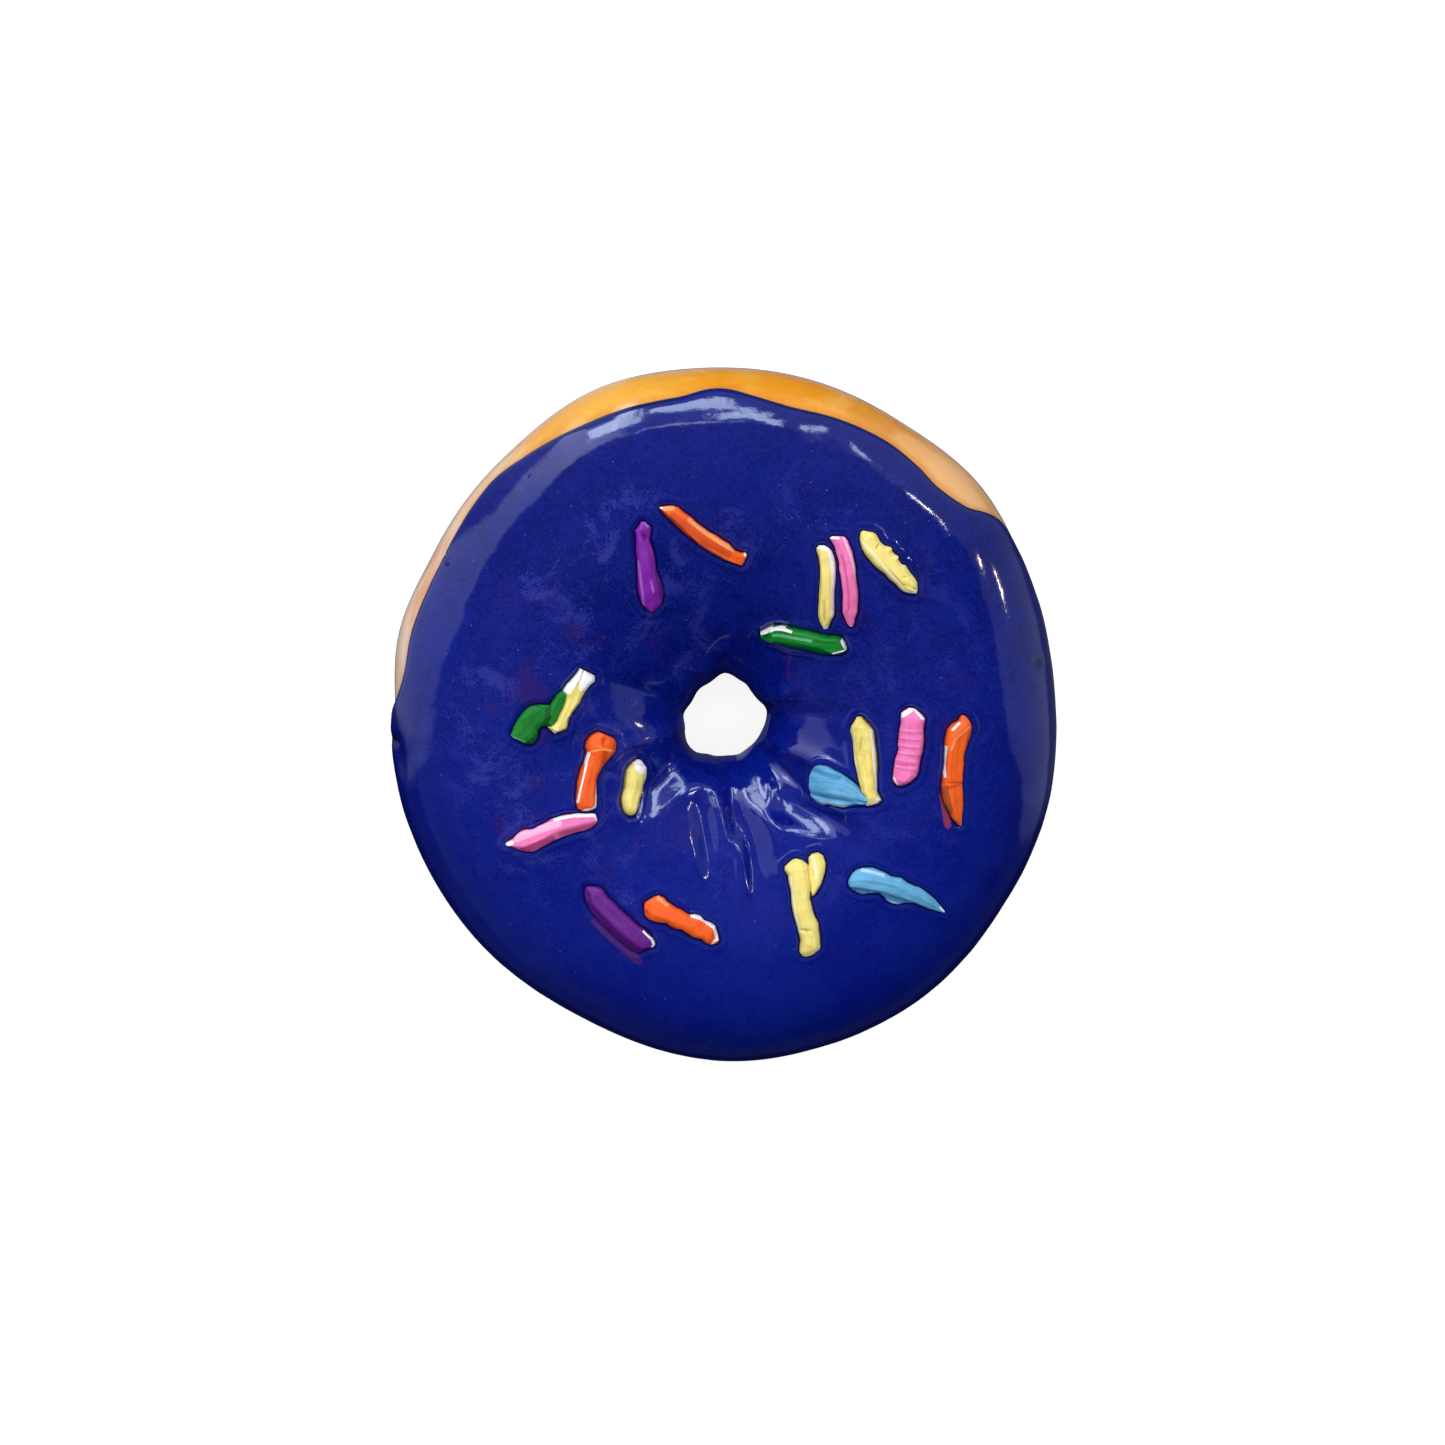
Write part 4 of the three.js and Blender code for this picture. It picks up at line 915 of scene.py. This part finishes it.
def toStroke(stroke, along, across, length):  # how far each point is from a stroke's line, in mm
    start, end = np.array(stroke[:4], float).reshape(2, 2)*(length, 1)
    step = end - start
    away = np.stack([along, across], -1) - start
    share = np.clip(away @ step/max(step @ step, 1e-6), 0, 1)
    return np.linalg.norm(away - share[..., None]*step, axis=-1)


def marks(strokes, along, across, length, soft):
    total = np.zeros(across.shape)
    for stroke in strokes:
        distance = toStroke(stroke, along, across, length)
        total = np.maximum(total, 1 - smooth(distance, stroke[4] - soft, stroke[4] + soft))
    return total


def topHeights(bar, shares, across):  # the height of the bar's top, as a share of its height
    left, right = across[:, -1], across[:, 0]
    width = left - right
    if bar["ridges"]:
        lines = [np.array(line, float) for line in bar["ridges"]]
        places = [np.interp(shares, line[:, 0], line[:, 1]) for line in lines]
        levels = [np.interp(shares, line[:, 0], line[:, 2]) for line in lines]
    else:
        rise = np.interp(shares, *np.array(bar["rise"], float).T)
        places = [(left + right)/2 + side*bar["flat"]*width/2 for side in (-1, 1)]
        levels = [rise, rise]
    places = np.sort([np.clip(place, right + 0.1*width, left - 0.1*width) for place in places], axis=0)
    leftEdge, rightEdge = (edge*np.max(levels, axis=0) for edge in bar["edges"])
    places = np.vstack([right, places, left]).T
    levels = np.vstack([rightEdge, *levels, leftEdge]).T
    top = np.array([np.interp(*row) for row in zip(across, places, levels)])
    padded = np.pad(top, ((0, 0), (1, 1)), mode="edge")
    return (padded[:, :-2] + 2*top + padded[:, 2:])/4


def buildBar(bar, seed):
    bar = barDefaults | bar
    length = np.linalg.norm(np.diff(np.array(bar["path"], float), axis=0), axis=1).sum()
    start, end = bar["reach"]
    lead = np.array(bar["lead"])/length
    body = np.arange(start + 0.45/length, end - 0.4/length, bar["step"]/length)
    shares = np.concatenate([start + lead, body, end - lead[::-1]])
    plan = follow(bar["path"], shares)
    centre = icingPoint(plan[:, 0], plan[:, 1])
    up = icingNormal(plan[:, 0], plan[:, 1])
    side = unit(np.cross(up, unit(np.gradient(centre, axis=0))))
    along = (shares*length)[:, None] + np.zeros(bar["columns"])
    phase = along[:, :1]*[1.0, 0, 0] + [seed*7.0, 0, 0]
    wobble, wavelength = bar["wobble"]
    left, right = (np.interp(shares, *np.array(bar[name], float).T)
                   + wobble*waves(phase + [0, shift, 0], wavelength, seed)
                   for name, shift in (("left", 0.0), ("right", 50.0)))
    left = np.maximum(left, right + 0.12)  # never without width
    # the section: over the top from the right edge to the left, then down and back under the icing
    arch = np.sin(np.linspace(-math.pi/2, math.pi/2, bar["columns"]))
    middle, half = (left + right)/2, (left - right)/2
    across = middle[:, None] + half[:, None]*arch
    fromEnd = np.minimum(shares - start, end - shares)*length
    cap = np.sqrt(1 - (1 - np.clip(fromEnd/bar["rounding"], 0, 1))**2)
    rough = np.stack([along, across, 0*across + seed*5], -1)
    lumps, wavelength = bar["lumps"]
    levels = bar["height"]*topHeights(bar, shares, across) + lumps*waves(rough, wavelength, seed + 5)
    for stroke in bar["bumps"]:
        levels = levels + stroke[5]*np.exp(-(toStroke(stroke, along, across, length)/stroke[4])**2)
    levels = np.maximum(levels, 0.05)*cap[:, None]*(1 - np.abs(arch)**bar["edge"])**0.5
    depth, wavelength = bar["brushMarks"]
    brush = waves(rough*[0.12, 1, 1], wavelength, seed + 3)
    levels = levels + depth*brush*np.clip(levels, 0, 1)
    sides, sunk = np.array(bar["belly"]).T
    across = np.hstack([across, middle[:, None] + half[:, None]*sides])
    levels = np.hstack([levels, np.tile(sunk*bar["sink"], (len(shares), 1))])
    along = (shares*length)[:, None] + 0*across
    points = centre[:, None] + side[:, None]*across[..., None] + up[:, None]*levels[..., None]
    size = across.shape[1]
    faces = netFaces(len(shares), size, False)[:, ::-1].tolist()
    faces += [list(range(size)), list(range((len(shares) - 1)*size, len(shares)*size))[::-1]]
    values = {name: marks(bar[name], along, across, length, soft)
              for name, soft in bar["softness"].items()}
    values |= {"along": along + seed*31, "across": across, "rise": levels, "tone": 0*across + bar["tone"]}
    leftLine, rightLine = (centre + side*edge[:, None] for edge in (left, right))
    outline = np.concatenate([leftLine[:, :2], rightLine[::-1, :2]])
    return points.reshape(-1, 3), faces, {name: grid.ravel() for name, grid in values.items()}, outline


def makeBars():  # one piece for each colour; gives the bars' outlines
    outlines = []
    for order, (colour, shapes) in enumerate(bars.items()):
        points, faces, values, count = [], [], [], 0
        for index, bar in enumerate(shapes):
            newPoints, newFaces, newValues, outline = buildBar(bar, 10*order + index)
            faces += [[corner + count for corner in face] for face in newFaces]
            points.append(newPoints)
            values.append(newValues)
            count += len(newPoints)
            outlines.append(outline)
        merged = {name: np.concatenate([each[name] for each in values]) for name in values[0]}
        makePiece(colour + "Sprinkles", np.concatenate(points), faces, paintFinish(colour),
                  colour + "_paint", merged)
    return outlines


barOutlines = makeBars()

# Icing
icing = {
    "columns": 324,
    "rows": 126,
    "lipRows": 7,
    "underRows": 8,
    "under": -0.35,  # how far the coat's hidden side is inside the crust
    "fineWithin": 1.1,  # from a bar's edge, the net is three times as fine
    "fineAbove": 15,
    "liftFade": (8, 12),  # the heights between which rims and folds fade in
    "barMargin": 3,  # a bar farther off than this doesn't count
    "farAway": 9.0,  # the distance where no bar counts
    "lipFade": (0.03, 0.16),  # the thin glaze along its edge, in stations
    "filmSoftness": 0.35,
    "unevenness": [(0.018, 9, 5), (0.012, 3.5, 6)],  # height, wavelength, seed
    "grooveDepth": 0.34,
    "grooveWidth": 0.2,
    "rimHeight": 0.14,
    "rimAt": 0.85,
    "rimWidth": 0.28,
    # folds drawn in towards the hole: path, height, and width on the left and on the right of it
    "folds": [
        ([(-16.1, -4), (-12.8, -2.5), (-9.8, -2.9), (-6.4, -5.6)], 0.35, 1.2, 1.2),
        ([(-6.8, 8.7), (-4.3, 7.3), (-1.2, 7.3), (1.4, 7.9), (3.1, 7.5)], 0.15, 0.4, 0.4),
    ],
    "foldFade": [(0, 0.35), (0.25, 1), (0.7, 1), (1, 0)],
    "foldPower": 1.6,
    # pinholes in the glaze: x, y, radius, depth
    "pits": [(-32.6, 30.9, 0.22, 0.08), (-26.7, 34.3, 0.2, 0.07), (-38.6, 24.6, 0.2, 0.1),
             (-38.3, 23.5, 0.22, 0.12), (-37.7, 22.5, 0.28, 0.14), (-45.8, -2.6, 0.8, 0.35),
             (43.3, 8.6, 0.7, 0.25)],
    # paint that was wiped on beside a bar: x, y, x, y, radius
    "films": {
        "orangeFilm": [(29.7, -8.9, 30.4, -13, 0.5)],
        "purpleFilm": [(-17.6, -26.2, -14.8, -29, 0.6), (-14.8, -29, -11.8, -31.7, 0.6)],
    },
}


def distanceToEdge(points, edge):  # to a closed line in plan, negative inside
    start, end = edge, np.roll(edge, -1, axis=0)
    step = end - start
    away = points[:, None] - start
    share = np.clip((away*step).sum(-1)/np.maximum((step**2).sum(-1), 1e-9), 0, 1)
    distance = np.linalg.norm(away - share[..., None]*step, axis=-1).min(1)
    isAbove = (start[:, 1] > points[:, None, 1]) != (end[:, 1] > points[:, None, 1])
    slope = step[:, 0]/np.where(step[:, 1] == 0, 1e-9, step[:, 1])
    crossing = points[:, None, 0] < start[:, 0] + slope*(points[:, None, 1] - start[:, 1])
    isInside = (isAbove & crossing).sum(1) % 2 == 1
    return np.where(isInside, -distance, distance)


def distanceToBars(points):
    nearest = np.full(len(points), icing["farAway"])
    plan, margin = points[:, :2], icing["barMargin"]
    for edge in barOutlines:
        near = np.all((plan > edge.min(0) - margin) & (plan < edge.max(0) + margin), axis=1)
        nearest[near] = np.minimum(nearest[near], distanceToEdge(plan[near], edge))
    return nearest


def foldLift(points):  # how far the folds stand out, in mm
    total = np.zeros(len(points))
    for path, height, leftWidth, rightWidth in icing["folds"]:
        path = np.array(path, float)
        lengths = np.linalg.norm(np.diff(path, axis=0), axis=1)
        nearest, signed, share = (np.full(len(points), start) for start in (99.0, 99.0, 0.0))
        for index, (start, length) in enumerate(zip(path, lengths)):
            step = (path[index + 1] - start)/length
            away = points[:, :2] - start
            along = np.clip(away @ step, 0, length)
            off = away - along[:, None]*step
            distance = np.linalg.norm(off, axis=1)
            side = np.sign(step[0]*off[:, 1] - step[1]*off[:, 0])
            isNearer = distance < nearest
            nearest = np.where(isNearer, distance, nearest)
            signed = np.where(isNearer, side*distance, signed)
            share = np.where(isNearer, (lengths[:index].sum() + along)/lengths.sum(), share)
        width = np.where(signed > 0, leftWidth, rightWidth)
        fade = np.interp(share, *np.array(icing["foldFade"], float).T)
        total += height*fade*np.exp(-(np.abs(signed)/width)**icing["foldPower"])
    return total


def icingNet():
    degrees = ring["seam"] + np.arange(icing["columns"])*360/icing["columns"]
    outer, inner = icingEdges(degrees)
    quarter = np.linspace(0, math.pi/2, icing["lipRows"])
    lip = (1 - np.cos(quarter))*ring["lipWidth"]
    shares = np.arange(1, icing["rows"] + 1)/(icing["rows"] + 1)
    stations = np.concatenate([
        outer[:, None] + lip,
        outer[:, None] + ring["lipWidth"] + shares*(inner - outer - 2*ring["lipWidth"])[:, None],
        inner[:, None] - lip[::-1],
        inner[:, None] + (outer - inner)[:, None]*np.linspace(0, 1, icing["underRows"]),
    ], axis=1)
    size = stations.shape[1]
    isOutside = np.arange(size) < size - icing["underRows"]
    turns = np.broadcast_to(degrees[:, None], stations.shape)
    return stations.ravel(), turns.ravel(), np.tile(isOutside, icing["columns"]), size


def icingSurface(stations, degrees, isOutside):
    edges = icingEdges(degrees)
    points = surfacePoint(stations, degrees, edges)
    hidden = surfacePoint(stations, degrees, edges, icing["under"])
    return np.where(isOutside[:, None], points, hidden)


def refinedIcing():  # the net, cut finer beside bars and round pinholes
    stations, degrees, isOutside, size = icingNet()
    faces = netFaces(icing["columns"], size, True)
    points = icingSurface(stations, degrees, isOutside)
    isNear = np.abs(distanceToBars(points)) < icing["fineWithin"]
    for x, y, radius, _ in icing["pits"]:
        isNear |= np.hypot(points[:, 0] - x, points[:, 1] - y) < 2*radius
    isNear &= isOutside & (points[:, 2] > icing["fineAbove"])
    body = bmesh.new()
    layers = {name: body.verts.layers.float.new(name) for name in ("station", "turn", "isOutside")}
    for point, station, turn, outside in zip(points, stations, degrees, isOutside):
        corner = body.verts.new(point)
        corner[layers["station"]], corner[layers["turn"]] = station, turn
        corner[layers["isOutside"]] = float(outside)
    body.verts.ensure_lookup_table()
    corners = list(body.verts)
    made = [body.faces.new([corners[index] for index in face]) for face in faces]
    fine = {edge for face, near in zip(made, isNear[faces].any(axis=1)) if near for edge in face.edges}
    bmesh.ops.subdivide_edges(body, edges=list(fine), cuts=2, use_grid_fill=True)
    bmesh.ops.recalc_face_normals(body, faces=list(body.faces))
    stations, degrees, isOutside = (np.array([corner[layer] for corner in body.verts])
                                    for layer in layers.values())
    isOutside = isOutside > 0.5
    points = icingSurface(stations, degrees, isOutside)
    faces = [[corner.index for corner in face.verts] for face in body.faces]
    for corner, point in zip(body.verts, points):
        corner.co = point
    body.normal_update()
    normals = np.array([corner.normal for corner in body.verts])
    body.free()
    return stations, degrees, isOutside, points, normals, faces


def makeIcing():
    stations, degrees, isOutside, points, normals, faces = refinedIcing()
    outward = np.maximum(distanceToBars(points), 0)
    groove = np.exp(-(outward/icing["grooveWidth"])**2)
    rim = np.exp(-((outward - icing["rimAt"])/icing["rimWidth"])**2)
    lift = foldLift(points) + icing["rimHeight"]*rim - icing["grooveDepth"]*groove
    for height, wavelength, seed in icing["unevenness"]:
        lift += height*waves(points, wavelength, seed)
    pits = np.zeros(len(points))
    for x, y, radius, depth in icing["pits"]:
        pit = np.exp(-((points[:, 0] - x)**2 + (points[:, 1] - y)**2)/radius**2)
        lift, pits = lift - depth*pit, np.maximum(pits, pit)
    points = points + normals*(lift*isOutside*smooth(points[:, 2], *icing["liftFade"]))[:, None]
    # gap marks the grooves and pits that the glaze darkens as painted shade
    values = {"gap": np.maximum(groove, pits),
              "lip": 1 - smooth(stations - icingEdges(degrees)[0], *icing["lipFade"])}
    for name, strokes in icing["films"].items():
        values[name] = marks(strokes, points[:, 0], points[:, 1], 1, icing["filmSoftness"])
    return makePiece("icingCoat", points, faces, icingFinish, "blue_glaze", values)


makeIcing()

# Crust and foot
crust = {
    "columns": 300,
    # rows under the icing, down the hole, over the foot and up the outside
    "hiddenRows": 26,
    "holeRows": 22,
    "footRows": 10,
    "outsideRows": 64,
    "footStations": (8.7, 11.0),
    "overlap": 0.1,  # how far the rows go in under the icing, in stations
    "rimWidth": 0.5,  # the painted light, a paler band round its widest part, in stations
    "floorGap": 0.15,  # the glazed crust stays this far off the table
}


def makeCrust():
    degrees = ring["seam"] + np.arange(crust["columns"])*360/crust["columns"]
    outer, inner = (edge[:, None] for edge in icingEdges(degrees))
    start, end = crust["footStations"]
    count, overlap = len(ring["section"]), crust["overlap"]

    def rows(low, high, amount):
        return low + (high - low)*np.arange(amount)/amount

    stations = np.concatenate([
        rows(outer + overlap, inner - overlap, crust["hiddenRows"]),
        rows(inner - overlap, start, crust["holeRows"]),
        rows(start + 0*outer, end, crust["footRows"]),
        rows(end, outer + overlap + count, crust["outsideRows"]),
    ], axis=1)
    turns = np.broadcast_to(degrees[:, None], stations.shape)
    wrapped = np.where(stations > end, stations - count, stations)
    points = surfacePoint(wrapped, turns, coat=0.0)
    edges = [surfacePoint(edge[:, 0], degrees, coat=0.0)[:, None] for edge in (outer, inner)]
    gap = np.min([np.linalg.norm(points - edge, axis=-1) for edge in edges], axis=0)
    points = points.reshape(-1, 3)
    points[:, 2] = np.maximum(points[:, 2], crust["floorGap"])
    faces = netFaces(crust["columns"], stations.shape[1], True)
    # where the paler band of painted light falls
    rim = np.exp(-(wrapped/crust["rimWidth"])**2)
    return makePiece("crustRing", points, faces, crustFinish, "tan_glaze",
                     {"fromIcing": gap.ravel(), "rim": rim.ravel()})


foot = {
    "columns": 240,
    "inner": 19.6,
    "outer": 37.2,
    "wobble": 0.5,
    "wobbleLengths": (16, 14),  # of the inner and the outer edge
    # share of the way out, height
    "profile": [(0, 0.12), (0.01, 0.03), (0.03, 0), (0.25, 0), (0.5, 0), (0.75, 0), (0.97, 0),
                (0.99, 0.03), (1, 0.12), (1, 0.5), (0.5, 0.5), (0, 0.5)],
}


def makeFoot():
    turn = np.radians(np.arange(foot["columns"])*360/foot["columns"])
    circle = np.stack([np.cos(turn), np.sin(turn), 0*turn], -1)
    innerLength, outerLength = foot["wobbleLengths"]
    inner = foot["inner"] + foot["wobble"]*waves(circle*30, innerLength, 21)
    outer = foot["outer"] + foot["wobble"]*waves(circle*30, outerLength, 22)
    lines = [circle*(inner + share*(outer - inner))[:, None] + [0, 0, height]
             for share, height in foot["profile"]]
    faces = netFaces(foot["columns"], len(lines), True)
    points = np.stack(lines, axis=1).reshape(-1, 3)
    return makePiece("footRing", points, faces, footFinish, "bare_clay")


makeCrust()
makeFoot()

# Floor and light
studio = {
    "floor": (0.42, 0.42, 0.42),
    "floorGlow": 0.82,  # the floor is a light table
    "floorReach": 2.5,  # from the middle, in metres
    "ceiling": 0.115,
    "ceilingClouds": (0.3, 1.4),  # the even share of its light, and the cloudy one
    "cloudScale": 1.7,
    "ceilingTint": (0.92, 0.96, 1.12),
    "ceilingLean": (-0.4, 0.85),  # the ceiling is brighter this way
    "wallTint": (0.88, 0.94, 1.22),
    # by azimuth: how high the light wall reaches, how low, and how bright it is
    "wallTop": [(-180, 28), (-176, 23), (-174, 16), (-171, 6), (-165, -14), (-31, -21), (-27, -16),
                (-20, -5), (-14, 8), (-8, 28), (0, 29), (12, 26), (30, 30), (60, 32), (110, 34), (118, 34),
                (126, 31), (134, 30), (141, 29), (148, 31), (154, 33), (159, 37), (177, 31), (180, 26)],
    "wallBase": [(-180, -40), (-20, -40), (45, -30), (62, -15), (104, -15), (107, 4), (118, 2),
                 (124, -20), (128, -14), (134, -2), (141, 4), (146, 6), (151, -6), (157, -40), (180, -40)],
    "wallLight": [(-180, 0.75), (-172, 0.6), (-165, 0.03), (-30, 0.03), (-20, 0.4), (0, 0.46), (8, 0.4),
                  (20, 0.3), (40, 0.45), (60, 0.55), (104, 0.5), (107, 2.3), (121, 2.7), (128, 2.7),
                  (136, 2.1), (145, 1.3), (155, 0.95), (165, 0.8), (180, 0.75)],
    "wallEdge": 1.0,  # the softness of its upper edge, in degrees
    "baseLight": 0.2,  # under its base, as a share
    "baseSoftness": 4,
    # the parts of a window: name, azimuth, elevation, width and height in degrees
    "window": [
        ("paneLeft", 114, 17.5, 11, 15),
        ("paneLeftLow", 105.4, 9, 6, 30),
        ("paneMiddle", 95.2, 12, 9.6, 11),
        ("archLeft", 91, 25, 2.8, 8),
        ("archTop", 87.5, 21, 4.4, 13),
        ("archMiddle", 83.2, 23.5, 4.2, 11),
        ("archRight", 78.5, 28.5, 5.2, 8),
        ("paneFar", 61.5, 27, 6, 4),
    ],
    "daylight": (1.2, 9, (0.66, 0.80, 1)),  # its distance in metres, radiance and colour
    # the same for the sill below it and for small far lamps, each with its own light
    "gleams": [
        ("sill", 96, 32.5, 9, 1.5, 1.2, 6, (0.8, 0.8, 1)),
        ("farLampHigh", 49, 34.4, 8, 0.35, 12, 150, (1, 0.97, 0.95)),
        ("farLampLow", 38, 33.4, 8, 0.3, 12, 90, (1, 0.97, 0.95)),
        ("warmLampHigh", 15.5, 19.5, 3, 0.5, 12, 150, (1, 0.84, 0.68)),
        ("warmLampLow", 11, 4.5, 4, 0.5, 12, 150, (1, 0.84, 0.68)),
    ],
    "softBox": (97, 70, 70, 70, 1.5, 2.3, (1, 1, 1)),  # over the table
}


def makeFloor():
    mesh = bpy.data.meshes.new("floor")
    reach = studio["floorReach"]
    corners = [(x*reach, y*reach, 0) for x, y in ((-1, -1), (1, -1), (1, 1), (-1, 1))]
    mesh.from_pydata(corners, [], [(0, 1, 2, 3)])
    finish, tree = newFinish("floorPaper")
    finishSurface(tree, {"Base Color": (*studio["floor"], 1), "Roughness": 0.9, "Specular IOR Level": 0.1,
                         "Emission Color": (1, 1, 1, 1), "Emission Strength": studio["floorGlow"]})
    mesh.materials.append(finish)
    floor = bpy.data.objects.new("floor", mesh)
    bpy.context.scene.collection.objects.link(floor)
    floor.visible_glossy = False
    floor.visible_diffuse = False


def makeLamp(name, azimuth, elevation, width, height, distance, radiance, colour):
    azimuth, elevation = math.radians(azimuth), math.radians(elevation)
    away = Vector((math.cos(elevation)*math.cos(azimuth), math.cos(elevation)*math.sin(azimuth),
                   math.sin(elevation)))
    light = bpy.data.lights.new(name, "AREA")
    light.shape = "RECTANGLE"
    light.size, light.size_y = (2*distance*math.tan(math.radians(size)/2) for size in (width, height))
    light.energy = radiance*math.pi*light.size*light.size_y
    light.color = colour
    lamp = bpy.data.objects.new(name, light)
    lamp.location = away*distance
    lamp.rotation_mode = "QUATERNION"
    lamp.rotation_quaternion = away.to_track_quat("Z", "Y")
    lamp.visible_camera = False
    bpy.context.scene.collection.objects.link(lamp)
    return lamp


def makeRoom():  # a pale ceiling over a wall that is lit on one side
    world = bpy.data.worlds.new("room")
    bpy.context.scene.world = world
    world.use_nodes = True
    tree = world.node_tree
    towards = add(tree, "ShaderNodeTexCoord", output="Generated")
    x, y, z = (add(tree, "ShaderNodeSeparateXYZ", {}, {"Vector": towards}, axis) for axis in "XYZ")
    azimuth = y.math("ARCTAN2", y, x)*(180/math.pi)
    elevation = z.math("ARCSINE", z)*(180/math.pi)
    edge, soft = studio["wallEdge"], studio["baseSoftness"]
    belowTop = 1 - ease(tree, elevation - curve(tree, azimuth, studio["wallTop"]), -edge, edge)
    overBase = ease(tree, elevation - curve(tree, azimuth, studio["wallBase"]), -soft, soft)
    leanX, leanY = studio["ceilingLean"]
    even, cloudy = studio["ceilingClouds"]
    clouds = noise(tree, towards, studio["cloudScale"])*cloudy + even
    ceiling = (x*leanX + y*leanY + 1)*clouds*studio["ceiling"]
    share = overBase*(1 - studio["baseLight"]) + studio["baseLight"]
    wall = curve(tree, azimuth, studio["wallLight"])*share
    light = mix(tree, belowTop, mix(tree, 1.0, studio["ceilingTint"], ceiling, "MULTIPLY"),
                mix(tree, 1.0, studio["wallTint"], wall, "MULTIPLY"))
    tree.links.new(light.socket, tree.nodes["Background"].inputs["Color"])


def makeStudio():
    makeFloor()
    panes = [(*pane, *studio["daylight"]) for pane in studio["window"]]
    for lamp in panes + studio["gleams"]:  # these only show as reflections
        makeLamp(*lamp).visible_diffuse = False
    makeLamp("softBox", *studio["softBox"]).visible_glossy = False
    makeRoom()
    bpy.context.scene.view_settings.view_transform = "Standard"


makeStudio()
print("studio made")
